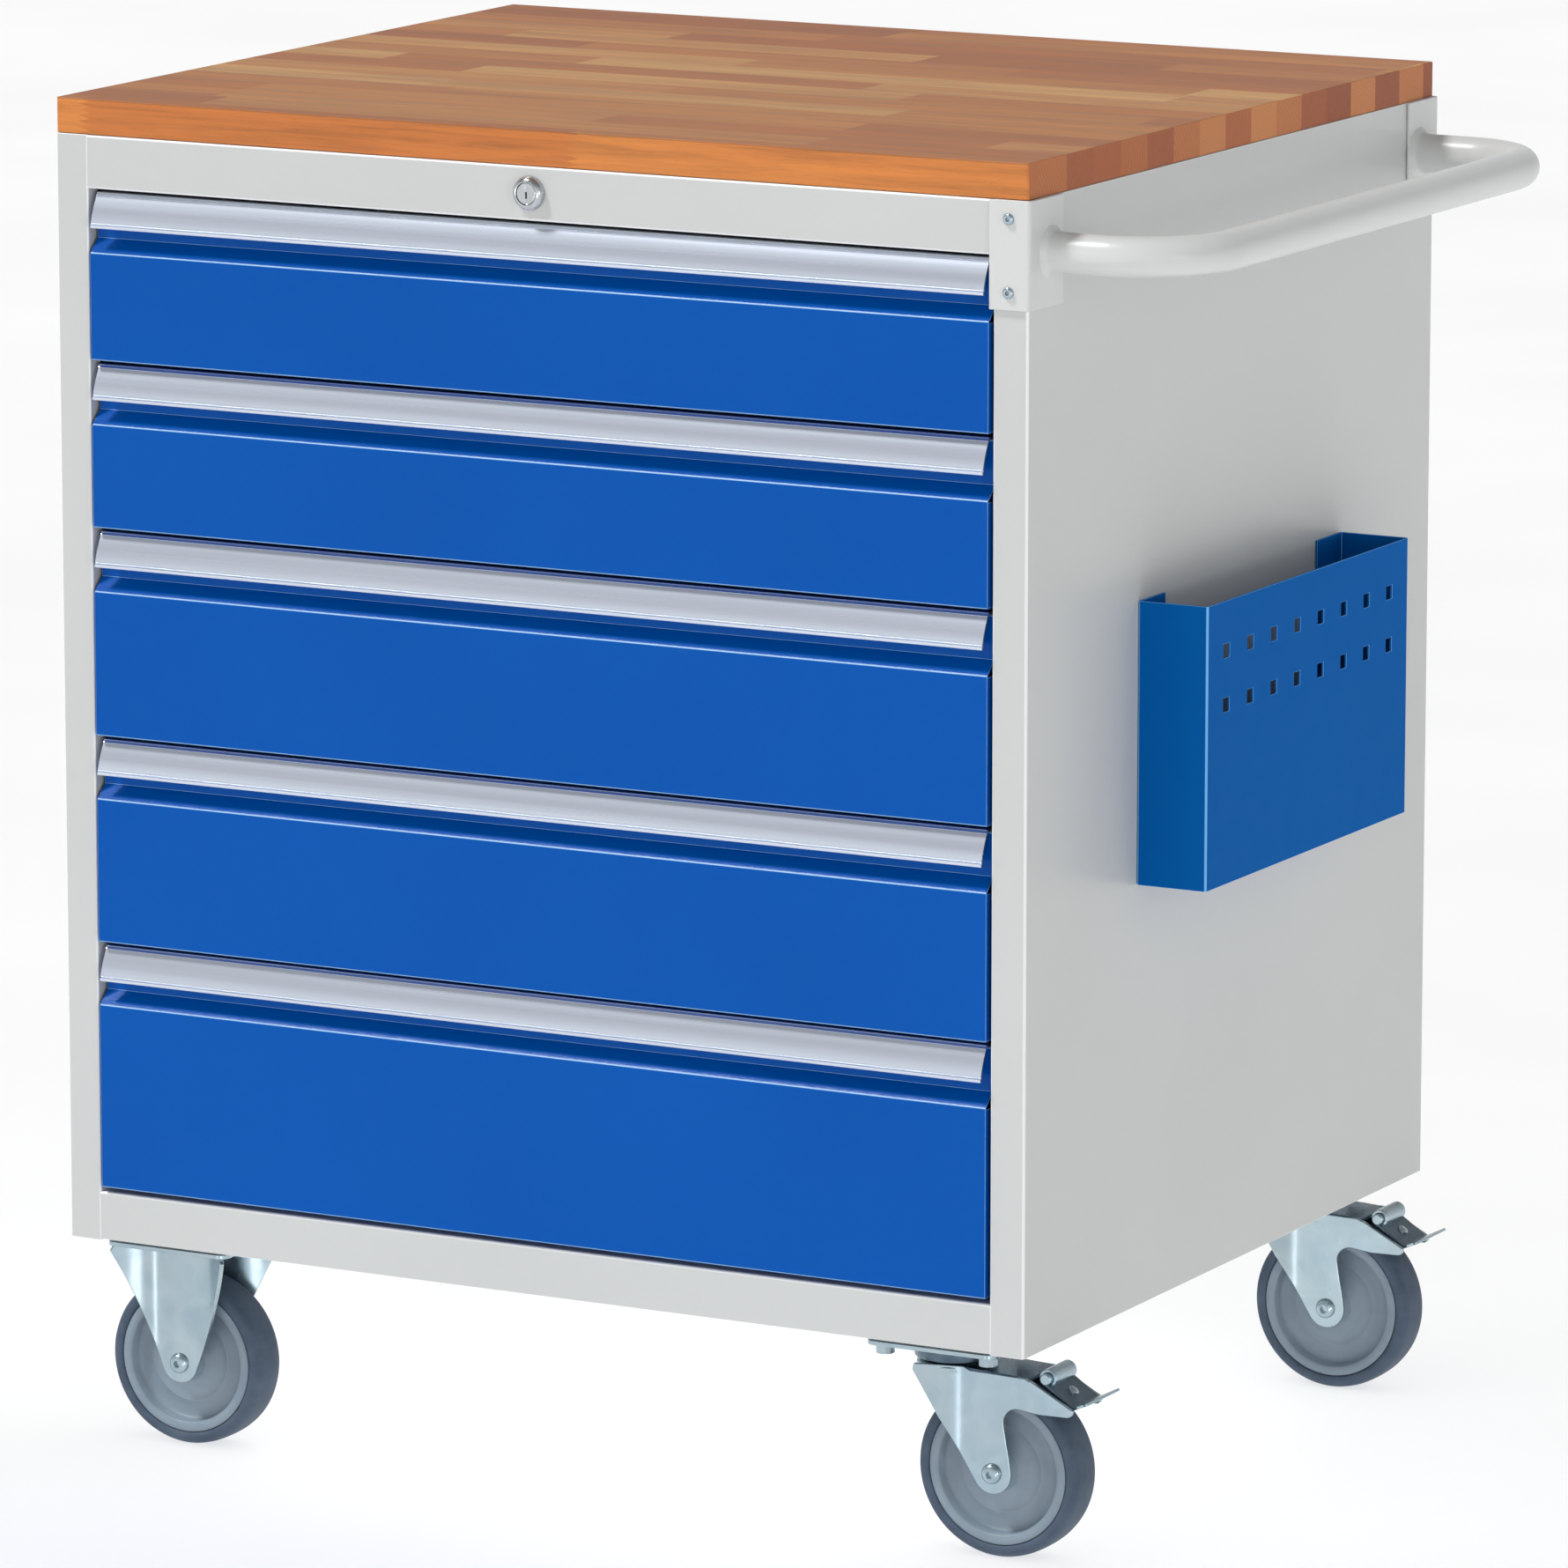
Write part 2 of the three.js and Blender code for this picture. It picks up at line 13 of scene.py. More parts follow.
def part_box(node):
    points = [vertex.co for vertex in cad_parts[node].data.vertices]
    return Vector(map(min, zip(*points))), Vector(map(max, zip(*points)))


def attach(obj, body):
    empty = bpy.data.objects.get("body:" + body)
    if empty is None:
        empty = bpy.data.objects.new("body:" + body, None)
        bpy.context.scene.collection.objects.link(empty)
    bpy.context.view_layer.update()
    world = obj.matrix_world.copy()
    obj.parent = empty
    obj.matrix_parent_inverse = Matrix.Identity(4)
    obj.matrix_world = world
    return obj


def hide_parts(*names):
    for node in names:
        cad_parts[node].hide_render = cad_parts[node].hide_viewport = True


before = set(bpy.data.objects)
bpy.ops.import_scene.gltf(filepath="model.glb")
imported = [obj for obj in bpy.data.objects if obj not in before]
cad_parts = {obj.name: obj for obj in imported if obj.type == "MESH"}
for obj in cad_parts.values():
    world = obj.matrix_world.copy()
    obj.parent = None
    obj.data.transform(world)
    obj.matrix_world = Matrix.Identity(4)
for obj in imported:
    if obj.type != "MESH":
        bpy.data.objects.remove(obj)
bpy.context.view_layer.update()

# Places, from the frame

MM = 0.001
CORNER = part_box("side_panel_left")[0]  # the cabinet's left side, front face and lower edge


def row(point):
    """A point in cabinet millimetres, in the row frame."""
    x, y, z = point
    return Vector((CORNER.x + x * MM, CORNER.y + y * MM, z * MM))


def span(node):
    """The lowest and the highest corner of a CAD node, in cabinet millimetres."""
    return [Vector(((p.x - CORNER.x) / MM, (p.y - CORNER.y) / MM, p.z / MM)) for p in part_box(node)]


def middle(node):
    low, high = span(node)
    return (low + high) / 2


WIDTH = span("side_panel_right")[1].x
DEPTH = span("side_panel_right")[1].y
BODY_BOTTOM = span("side_panel_left")[0].z
BODY_TOP = span("side_panel_left")[1].z
STILE = span("top_rail")[0].x  # where a rail starts beside the side panel's flange
STILE_EDGE = STILE - 0.3  # where that flange ends
TRAY_GAP = 22  # from the flange's edge to a tray's side

SHEET = 1.5  # cabinet sheet
RETURN = 14  # depth of the folded edges
DRAWER_SHEET = 1.2
SEAM = 0.9  # how far a rail's welded end runs into a stile's bend
SLIDE_AXIS_LIFT = 35  # from a tray's underside to the middle of its slides

# Shapes: vertices and faces


def smooth(t):
    t = min(1, max(0, t))
    return t * t * (3 - 2 * t)


def arc(a, b, radius, start, end, steps):
    """Points on a circle about (a, b), with angles in degrees."""
    angles = [radians(start + (end - start) * i / steps) for i in range(steps + 1)]
    return [(a + radius * cos(angle), b + radius * sin(angle)) for angle in angles]


def quads(rows, loop=False):
    """A skin between closed rows of points. loop joins the last row to the first."""
    wide = len(rows[0])
    faces = []
    for r in range(len(rows) if loop else len(rows) - 1):
        below = (r + 1) % len(rows)
        for c in range(wide):
            beside = (c + 1) % wide
            faces.append((r * wide + c, r * wide + beside, below * wide + beside, below * wide + c))
    return [point for points in rows for point in points], faces


def turned(profile, centre, axis="y", sides=64):
    """A closed profile of (radius, height) points turned about an axis.

    A third value of 6 makes that point's circle a hexagon of that corner radius."""
    rows = []
    for i in range(sides):
        angle = 2 * pi * i / sides
        into_flat = (angle % (pi / 3)) - pi / 6
        hexagon = cos(pi / 6) / cos(into_flat)
        ring = []
        for radius, height, *six in profile:
            r = radius * hexagon if six else radius
            a, b = r * cos(angle), r * sin(angle)
            ring.append(Vector(centre) + Vector((a, height, b) if axis == "y" else (a, b, height)))
        rows.append(ring)
    return quads(rows, loop=True)


def at_level(x, y, level):
    return x, y, level


def at_depth(x, z, level):
    return x, level, z


def at_width(y, z, level):
    return level, y, z


def prism(outline, spot, low, high):
    """A solid between two levels. spot(a, b, level) places a point of the outline."""
    n = len(outline)
    points = [spot(a, b, low) for a, b in outline] + [spot(a, b, high) for a, b in outline]
    sides = [(i, (i + 1) % n, n + (i + 1) % n, n + i) for i in range(n)]
    return points, [tuple(range(n)), tuple(range(2 * n - 1, n - 1, -1)), *sides]


def block(low, high):
    (x0, y0, z0), (x1, y1, z1) = low, high
    return prism([(x0, y0), (x1, y0), (x1, y1), (x0, y1)], at_level, z0, z1)


def round_rectangle(a0, a1, b0, b1, radius):
    a0, a1, b0, b1 = a0 + radius, a1 - radius, b0 + radius, b1 - radius
    centres = enumerate([(a1, b1), (a0, b1), (a0, b0), (a1, b0)])
    return [p for k, (a, b) in centres for p in arc(a, b, radius, 90 * k, 90 * (k + 1), 5)]


def bent_path(corners, thickness, inner):
    """A bent sheet's face as (point, left) pairs; the thickness lies to the left of the path.

    Both faces of a bend turn about one centre, and inner is the smaller face's radius, unless the
    corner has its own as a third value."""
    points = [Vector(corner[:2]) for corner in corners]
    inners = [corner[2] if len(corner) > 2 else inner for corner in corners]
    samples = []
    for i, point in enumerate(points):
        before = (point - points[max(i - 1, 0)]).normalized()
        after = (points[min(i + 1, len(points) - 1)] - point).normalized()
        way = before if i else after
        left = Vector((-way.y, way.x))
        turn = atan2(before.x * after.y - before.y * after.x, before.dot(after))
        if i in (0, len(points) - 1) or abs(turn) < 1e-6:
            samples.append((point, left))
            continue
        radius = inners[i] + thickness if turn > 0 else inners[i]
        side = copysign(1, turn)
        start = point - before * radius * tan(abs(turn) / 2)
        centre = start + left * radius * side
        steps = max(2, round(abs(turn) / radians(16)))
        for k in range(steps + 1):
            angle = turn * k / steps
            along, aside = cos(angle), sin(angle)
            normal = Vector((left.x * along - left.y * aside, left.x * aside + left.y * along))
            samples.append((centre - normal * radius * side, normal))
    return samples


def bent_sheet(corners, thickness, levels, spot, inner=0.9, opening=None):
    """A closed bent sheet. spot(a, b, level) places a point of it.

    Corners in line with their neighbours and extra levels split it into cells, and a cell whose
    middle opening() accepts is left out as a hole."""
    samples = bent_path(corners, thickness, inner)
    long, wide = len(samples), len(levels)
    points = [Vector(spot(*face, level))
              for depth in (0, thickness)
              for face in [point + left * depth for point, left in samples]
              for level in levels]

    def number(layer, i, j):
        return (layer * long + i) * wide + j

    def filled(i, j):
        if not (0 <= i < long - 1 and 0 <= j < wide - 1):
            return False
        return opening is None or not opening((points[number(0, i, j)] + points[number(0, i + 1, j + 1)]) / 2)

    faces = []
    for i in range(long - 1):
        for j in range(wide - 1):
            if not filled(i, j):
                continue
            cell = [(i, j), (i + 1, j), (i + 1, j + 1), (i, j + 1)]
            faces.append([number(0, *c) for c in cell])
            faces.append([number(1, *c) for c in reversed(cell)])
            for k, beside in enumerate([(i, j - 1), (i + 1, j), (i, j + 1), (i - 1, j)]):
                if not filled(*beside):
                    a, b = cell[k], cell[(k + 1) % 4]
                    faces.append([number(0, *b), number(0, *a), number(1, *a), number(1, *b)])
    return points, faces


def bands(centres, half):
    """Where bands about some places start and end, and a test of whether a place is in one."""
    edges = [centre + side * half for centre in centres for side in (-1, 1)]
    return edges, lambda place: any(abs(place - centre) < half for centre in centres)


def split_line(outline, spacing):
    """The points of a closed outline with more between them, no further apart than spacing."""
    points = []
    for start, end in zip(outline, outline[1:] + outline[:1]):
        a, b = Vector(start), Vector(end)
        count = max(1, ceil((b - a).length / spacing))
        points += [a.lerp(b, k / count) for k in range(count)]
    return points


def distance_to(outline, point):
    """How far a point is from a closed line of points."""
    distances = []
    for a, b in zip(outline, outline[1:] + outline[:1]):
        _, share = geometry.intersect_point_line(point, a, b)
        distances.append((point - a.lerp(b, min(1, max(0, share)))).length)
    return min(distances)


def pressed_plate(outline, rise, thickness):
    """A closed pressed sheet over an (x, z) outline: rise(x, z) is its face's y, and its thickness
    lies behind that along the surface's normal."""
    spacing = 2.6
    edge = split_line(outline, spacing)
    x_values, z_values = [p.x for p in edge], [p.y for p in edge]
    inside = []
    columns = ceil((max(x_values) - min(x_values)) / spacing)
    levels = ceil((max(z_values) - min(z_values)) / spacing)
    for i in range(1, columns):
        for j in range(1, levels):
            point = Vector((min(x_values) + i * spacing, min(z_values) + j * spacing))
            if distance_to(edge, point) > spacing * 0.6:
                inside.append(point)
    ring = [(k, (k + 1) % len(edge)) for k in range(len(edge))]
    flat, _, faces, *_ = geometry.delaunay_2d_cdt(edge + inside, ring, [], 2, 1e-5)

    def face_point(p):
        return Vector((p.x, rise(p.x, p.y), p.y))

    def back_point(p):
        d = 0.05
        slope_x = (rise(p.x + d, p.y) - rise(p.x - d, p.y)) / (2 * d)
        slope_z = (rise(p.x, p.y + d) - rise(p.x, p.y - d)) / (2 * d)
        return face_point(p) - Vector((-slope_x, 1, -slope_z)).normalized() * thickness

    n = len(flat)
    points = [face_point(p) for p in flat] + [back_point(p) for p in flat]
    sides = [pair for f in faces for pair in zip(f, [*f[1:], f[0]])]
    shared = set(sides)
    rim = [(b, a, a + n, b + n) for a, b in sides if (b, a) not in shared]
    return points, [*faces, *[[v + n for v in reversed(f)] for f in faces], *rim]


def tube(centres, radii, sides):
    """A solid round bar along level points; radii holds its radius at each of them."""
    up = Vector((0, 0, 1))
    rows = []
    for i, (centre, radius) in enumerate(zip(centres, radii)):
        way = (centres[min(i + 1, len(centres) - 1)] - centres[max(i - 1, 0)]).normalized()
        across = way.cross(up)
        angles = [2 * pi * k / sides for k in range(sides)]
        rows.append([centre + (across * cos(t) + up * sin(t)) * radius for t in angles])
    points, faces = quads(rows)
    last = len(points) - sides
    return points, [*faces, tuple(range(sides)), tuple(range(last + sides - 1, last - 1, -1))]


def opposite(shape):
    """A shape's mirror image on the cabinet's other side."""
    return flipped(shape, 0, WIDTH / 2)


def flipped(shape, axis, about):
    """The mirror image of a shape in the plane where axis is about."""
    points, faces = [Vector(p) for p in shape[0]], shape[1]
    for p in points:
        p[axis] = 2 * about - p[axis]
    return points, [tuple(reversed(f)) for f in faces]


# Pieces


def new_object(name, data):
    thing = bpy.data.objects.new(name, data)
    bpy.context.scene.collection.objects.link(thing)
    return thing


def modify(piece, kind, **settings):
    modifier = piece.modifiers.new(kind.lower(), kind)
    for key, value in settings.items():
        setattr(modifier, key, value)
    return modifier


def round_edges(piece, width, segments, sharpest):
    """Rounds the edges that turn by more than an angle in degrees."""
    modify(
        piece, "BEVEL", width=width * MM, segments=segments, limit_method="ANGLE",
        angle_limit=radians(sharpest),
    )


def add_piece(name, look, shapes, replaces=(), body="cabinet", bevel=0.3, crease=32, rounds=2):
    """Makes one Blender object of closed shapes, which moves with a CAD body."""
    mesh = bpy.data.meshes.new(name)
    whole = bmesh.new()
    for points, faces in shapes:
        vertices = [whole.verts.new(row(p)) for p in points]
        for face in faces:
            whole.faces.new([vertices[i] for i in face])
        bmesh.ops.remove_doubles(whole, verts=vertices, dist=1e-6)
    loose = [v for v in whole.verts if not v.link_faces]
    bmesh.ops.delete(whole, geom=loose, context="VERTS")
    bmesh.ops.dissolve_degenerate(whole, dist=1e-7, edges=whole.edges)
    bmesh.ops.recalc_face_normals(whole, faces=whole.faces)
    whole.to_mesh(mesh)
    whole.free()
    mesh.shade_smooth()
    mesh.set_sharp_from_angle(angle=radians(crease))
    piece = new_object(name, mesh)
    if bevel:
        round_edges(piece, bevel, rounds, 50)
        modify(piece, "WEIGHTED_NORMAL", keep_sharp=True)
    mesh.materials.append(look.material)
    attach(piece, body)
    if replaces:
        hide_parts(*replaces)
    return piece


def hollow_out(piece, shape):
    """Cuts a shape out of a piece's mesh."""
    cutter = add_piece("cutter", ZINC, [shape], bevel=0)
    cut = modify(piece, "BOOLEAN", operation="DIFFERENCE", solver="EXACT", object=cutter)
    bpy.context.view_layer.objects.active = piece
    bpy.ops.object.modifier_move_to_index(modifier=cut.name, index=0)
    bpy.ops.object.modifier_apply(modifier=cut.name)
    piece.data.set_sharp_from_angle(angle=radians(32))
    bpy.data.objects.remove(cutter)


# Materials


class Nodes:
    """A node tree, and a short way to wire it. where is the place that its patterns follow."""

    def __init__(self, tree, space):
        self.nodes, self.links = tree.nodes, tree.links
        self.where = self.nodes.new("ShaderNodeTexCoord").outputs[space]

    def add(self, kind, inputs, output=0, **settings):
        """A new node; inputs are numbers, vectors or sockets by name or place."""
        node = self.nodes.new("ShaderNode" + kind)
        for key, value in settings.items():
            setattr(node, key, value)
        for key, value in inputs.items():
            if isinstance(value, bpy.types.NodeSocket):
                self.links.new(value, node.inputs[key])
            else:
                node.inputs[key].default_value = value
        return node.outputs[output]

    def maths(self, operation, a, b=0.0, c=0.0):
        return self.add("Math", {0: a, 1: b, 2: c}, operation=operation)

    def stretched(self, scale, vector=None):
        """The place on the piece, with each axis scaled."""
        return self.add("Mapping", {"Vector": vector or self.where, "Scale": scale})

    def noise(self, scale, detail=2, vector=None, rough=0.5, warp=0.0):
        inputs = {"Vector": vector or self.where, "Scale": scale, "Detail": detail}
        return self.add("TexNoise", {**inputs, "Roughness": rough, "Distortion": warp})

    def streaks(self, scale, detail, vector=None, **more):
        """Noise with its own scale along each axis."""
        return self.noise(1.0, detail, self.stretched(scale, vector), **more)

    def ramp(self, factor, stops):
        """stops are (place, colour or grey) pairs."""
        out = self.add("ValToRGB", {"Fac": factor})
        elements = out.node.color_ramp.elements
        while len(elements) < len(stops):
            elements.new(0.5)
        for element, (place, colour) in zip(elements, stops):
            element.position = place
            element.color = (*colour, 1) if isinstance(colour, tuple) else (colour, colour, colour, 1)
        return out

    def between(self, factor, low, high):
        """A number that goes from low to high as factor goes from 0 to 1."""
        return self.add("MapRange", {"Value": factor, "To Min": low, "To Max": high})

    def blend(self, factor, a, b, way="MIX"):
        inputs = {0: factor, 6: a, 7: b}
        return self.add("Mix", inputs, output=2, data_type="RGBA", blend_type=way)

    def times(self, a, b, factor=1.0):
        return self.blend(factor, a, b, "MULTIPLY")


class Look(Nodes):
    """A procedural material of one of the record's slots."""

    def __init__(self, name, slot, **constants):
        self.slot = slot
        self.material = bpy.data.materials.new(name)
        self.material.use_nodes = True
        super().__init__(self.material.node_tree, "Object")
        self.shader = self.nodes["Principled BSDF"]
        for socket, value in constants.items():
            self.shader.inputs[socket.replace("_", " ")].default_value = value

    def painted_highlight_mask(self, shallowest):
        """Where the painted highlight goes: from 0 on faces square to an axis to 1 on the folds and rounded
        edges between them.

        Faces whose normal's largest part is under shallowest count as flat too."""
        normal = self.nodes.new("ShaderNodeTexCoord").outputs["Normal"]
        parts = self.add("SeparateXYZ", {0: self.add("VectorMath", {0: normal}, operation="ABSOLUTE")})
        x, y, z = parts.node.outputs
        most = self.maths("MAXIMUM", x, self.maths("MAXIMUM", y, z))
        flat, bent = 0.985, 0.90
        turned_away = self.add("MapRange", {"Value": most, "From Min": flat, "From Max": bent})
        return self.maths("MULTIPLY", turned_away, self.maths("GREATER_THAN", most, shallowest))

    def colour(self, socket):
        self.links.new(socket, self.shader.inputs["Base Color"])

    def roughness(self, factor, low, high):
        self.links.new(self.between(factor, low, high), self.shader.inputs["Roughness"])

    def bump(self, height, strength, distance, under=None):
        inputs = {"Height": height, "Strength": strength, "Distance": distance}
        if under is not None:
            inputs["Normal"] = under
        normal = self.add("Bump", inputs)
        self.links.new(normal, self.shader.inputs["Normal"])
        return normal


def powder_coat(name, slot, light, dark, gloss, shine, edge=None, shallowest=0.0):
    """Powder paint: a fine orange peel with faint clouds, and a painted highlight on its folds and rounded
    edges.
    """
    look = Look(name, slot, Metallic=0.0, Specular_IOR_Level=shine)
    grain = look.noise(700)
    shade = look.blend(look.between(look.noise(5), -0.3, 1.3), (*dark, 1), (*light, 1))
    shade = look.times(shade, look.between(grain, 0.985, 1.015))
    # Painted highlight: the edge colour is mixed in on the folds and rounded edges, where they would catch
    # the light.
    if edge:
        shade = look.blend(look.maths("MULTIPLY", look.painted_highlight_mask(shallowest), 0.85), shade, (*edge, 1))
    look.colour(shade)
    look.roughness(look.noise(60, detail=3), gloss - 0.03, gloss + 0.05)
    peel = look.bump(look.noise(260, detail=3), 0.10, 0.0006)
    look.bump(grain, 0.12, 0.0003, under=peel)
    return look


def plated_steel(name, slot, light, dark, gloss, cloud_size=45):
    """Zinc plating on pressed steel: soft spangles, blue and warm tints and fine scuffs."""
    look = Look(name, slot, Metallic=0.92)
    spangle = look.noise(cloud_size, detail=4, warp=0.6)
    shade = look.blend(look.ramp(spangle, [(0.25, 0.0), (0.75, 1.0)]), (*dark, 1), (*light, 1))
    tint = look.ramp(look.noise(18), [(0.3, (0.90, 0.98, 1.0)), (0.7, (1.0, 0.99, 0.96))])
    look.colour(look.times(shade, tint))
    scuffs = look.noise(220, detail=4, vector=look.stretched((1.0, 1.0, 0.25)))
    look.roughness(scuffs, gloss - 0.06, gloss + 0.08)
    base = look.bump(look.noise(30, detail=1), 0.06, 0.0012)
    look.bump(scuffs, 0.03, 0.0002, under=base)
    return look


def extruded_aluminium():
    """Satin anodised profile with die lines along its length."""
    look = Look("satin_aluminium", "grip_aluminium", Metallic=1.0)
    lines = look.streaks((2.5, 900, 900), 5)
    soft = look.streaks((1.2, 160, 160), 2)
    shade = look.blend(look.between(lines, 0.2, 0.8), (0.61, 0.67, 0.77, 1), (0.71, 0.76, 0.87, 1))
    look.colour(look.times(shade, look.between(soft, 0.90, 1.08)))
    look.roughness(soft, 0.25, 0.29)
    look.bump(lines, 0.02, 0.0002)
    return look


def polished_chrome():
    look = Look("polished_chrome", "lock_chrome", Metallic=1.0)
    hairs = look.noise(400, detail=4, vector=look.stretched((1.0, 1.0, 0.1)))
    look.colour(look.ramp(hairs, [(0.3, (0.46, 0.48, 0.50)), (0.7, (0.58, 0.60, 0.62))]))
    look.roughness(hairs, 0.10, 0.20)
    look.bump(look.noise(150, detail=1), 0.04, 0.0002)
    return look


def moulded_plastic():
    """Blue-grey polyamide with flow marks and a fine eroded surface."""
    look = Look("moulded_plastic", "wheel_plastic", Metallic=0.0)
    flow = look.noise(22, detail=3, warp=1.2)
    look.colour(look.ramp(flow, [(0.25, (0.18, 0.235, 0.29)), (0.75, (0.235, 0.295, 0.355))]))
    look.roughness(flow, 0.40, 0.55)
    look.bump(look.noise(900), 0.15, 0.0002)
    return look


def wheel_rubber():
    """Dark blue-grey rubber with dust in it and fine moulding rings."""
    look = Look("wheel_rubber", "tyre_rubber", Metallic=0.0, Specular_IOR_Level=0.4)
    dust = look.noise(55, detail=5, rough=0.65)
    look.colour(look.ramp(dust, [(0.3, (0.038, 0.06, 0.098)), (0.7, (0.07, 0.102, 0.15))]))
    look.roughness(dust, 0.50, 0.72)
    rings = look.streaks((60, 1600, 60), 2)
    base = look.bump(rings, 0.10, 0.0003)
    look.bump(look.noise(1100), 0.18, 0.0002, under=base)
    return look


def beech_staves():
    """Glued beech: staves along X with their own tone, grain and flecks, joined by fingers."""
    look = Look("beech_staves", "beech", Metallic=0.0, Specular_IOR_Level=0.45)
    maths = look.maths
    x, y, z = look.add("SeparateXYZ", {0: look.where}).node.outputs
    top_low, top_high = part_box("worktop")
    stave_width, first_stave, finger_pitch, finger_depth = 0.041, 1.0041, 0.0042, 0.010
    strip = maths("FLOOR", maths("DIVIDE", maths("ADD", y, first_stave), stave_width))
    strip_luck = look.add("TexWhiteNoise", {"W": strip}, noise_dimensions="1D")
    length = look.between(strip_luck, 0.30, 0.52)
    fingers = maths("PINGPONG", z, finger_pitch / 2)
    fingers = maths("MULTIPLY", fingers, finger_depth / (finger_pitch / 2))
    shift = maths("MULTIPLY_ADD", strip_luck, 7.31, 2.0)
    along = maths("ADD", maths("ADD", x, fingers), shift)
    piece = maths("FLOOR", maths("DIVIDE", along, length))
    which = look.add("CombineXYZ", {0: strip, 1: piece, 2: 0.0})
    luck = look.add("TexWhiteNoise", {"Vector": which}, noise_dimensions="3D")
    luck_colour = luck.node.outputs["Color"]

    spread = {0: luck_colour, 1: (9, 9, 9), 2: look.where}
    own_place = look.add("VectorMath", spread, operation="MULTIPLY_ADD")
    grain = look.streaks((7, 150, 150), 5, own_place, rough=0.6, warp=0.4)
    figure = look.streaks((2.2, 26, 26), 2, own_place, warp=0.8)
    flecks = look.streaks((130, 1300, 1300), 1, own_place)
    tone = look.ramp(luck, [
        (0.0, (0.44, 0.12, 0.022)), (0.3, (0.60, 0.19, 0.036)),
        (0.7, (0.70, 0.27, 0.056)), (1.0, (0.88, 0.47, 0.14)),
    ])
    tone = look.blend(look.between(figure, -0.3, 0.9), tone, (0.5, 0.15, 0.028, 1))
    # Painted sheen and shade: the worktop's top is darker and bluer than its edges.
    on_top = maths("GREATER_THAN", z, top_high.z - 0.0012)
    painted_top_sheen_and_shade = look.times(tone, (0.70, 0.735, 0.86, 1))
    tone = look.blend(on_top, tone, painted_top_sheen_and_shade)
    streaks = look.ramp(grain, [(0.30, 0.70), (0.50, 0.98), (0.72, 1.16)])
    tone = look.times(tone, streaks)
    marks = look.ramp(flecks, [(0.28, 0.80), (0.40, 1.0)])
    long_grain = look.times(tone, marks, 0.4)

    # End grain on the two short sides: growth rings that slant their own way in each stave.
    half_width, centre = (top_high.x - top_low.x) / 2, (top_high.x + top_low.x) / 2
    off_centre = maths("ABSOLUTE", maths("SUBTRACT", x, centre))
    at_end = maths("GREATER_THAN", off_centre, half_width - 0.0008)
    end_luck = look.add("TexWhiteNoise", {"W": maths("ADD", strip, 0.37)}, noise_dimensions="1D")
    lean = look.between(end_luck, -1.6, 1.6)
    rings = maths("MULTIPLY_ADD", z, lean, y)
    wobble = maths("MULTIPLY", look.noise(60), 0.006)
    rings = maths("SINE", maths("MULTIPLY", maths("ADD", rings, wobble), 1700.0))
    end_tone = look.ramp(end_luck, [
        (0.0, (0.27, 0.05, 0.009)), (0.5, (0.42, 0.105, 0.02)), (1.0, (0.62, 0.23, 0.06)),
    ])
    end_grain = look.times(end_tone, look.between(rings, 0.86, 1.06))
    look.colour(look.blend(at_end, long_grain, end_grain))
    look.roughness(grain, 0.40, 0.58)
    pores = look.bump(flecks, 0.12, 0.0003)
    look.bump(grain, 0.10, 0.0004, under=pores)
    return look


# GREY's edge colour is a painted highlight on the body's folds and rounded edges.
GREY = powder_coat(
    "grey_powder_coat", "body_grey", (0.565, 0.578, 0.573), (0.535, 0.548, 0.543), 0.30, 0.45,
    edge=(0.88, 0.89, 0.89),
)
SOFT_GREY = powder_coat(
    "grey_powder_coat_on_tube", "body_grey", (0.625, 0.638, 0.632), (0.595, 0.608, 0.602), 0.30, 0.45,
)
# BLUE's edge colour is a painted highlight on the drawers' folds; the recess ledges, whose normals stay under
# shallowest, get none.
BLUE = powder_coat(
    "blue_powder_coat", "drawer_blue", (0, 0.086, 0.41), (0, 0.077, 0.375), 0.15, 0.10,
    edge=(0.5, 0.8, 1.0), shallowest=0.83,
)
# MATT_BLUE's edge colour is a painted highlight on the pocket's folds and rounded edges.
MATT_BLUE = powder_coat(
    "matt_blue_powder_coat", "drawer_blue", (0, 0.108, 0.40), (0, 0.098, 0.37), 0.60, 0.04,
    edge=(0.20, 0.52, 0.95),
)
BEECH = beech_staves()
ALUMINIUM = extruded_aluminium()
ZINC = plated_steel("zinc_plated_steel", "zinc_steel", (0.47, 0.55, 0.60), (0.36, 0.45, 0.51), 0.24)
# Zinc darkened as painted shade, for parts that sit in the shade under the cabinet: the ball race, the saddle
# and the brake tread and shoe.
PAINTED_SHADE_ZINC = plated_steel("zinc_with_painted_shade", "zinc_steel", (0.15, 0.20, 0.25), (0.08, 0.115, 0.155), 0.28)
GALVANISED = plated_steel("galvanised_steel", "slide_steel", (0.56, 0.58, 0.60), (0.44, 0.46, 0.48), 0.38, 90)
CHROME = polished_chrome()
PLASTIC = moulded_plastic()
RUBBER = wheel_rubber()

# Cabinet body


def worktop():
    low, high = span("worktop")
    inset = 0.7
    outline = round_rectangle(low.x + inset, high.x - inset, low.y + inset, high.y - inset, 2)
    slab = prism(outline, at_level, low.z, high.z)
    add_piece("beech_worktop", BEECH, [slab], ["worktop"], bevel=0.5, rounds=3)


def side_panels():
    rear_flange = 20
    path = [(rear_flange, DEPTH), (0, DEPTH), (0, 0), (STILE_EDGE, 0, 0.15), (STILE_EDGE, RETURN)]
    wall = bent_sheet(path, SHEET, [BODY_BOTTOM, BODY_TOP], at_level, inner=1.0)
    for side, shapes in (("left", [wall]), ("right", [opposite(wall)])):
        node = f"side_panel_{side}"
        add_piece(f"{side}_side_wall", GREY, shapes, [node], bevel=0.6, rounds=3)


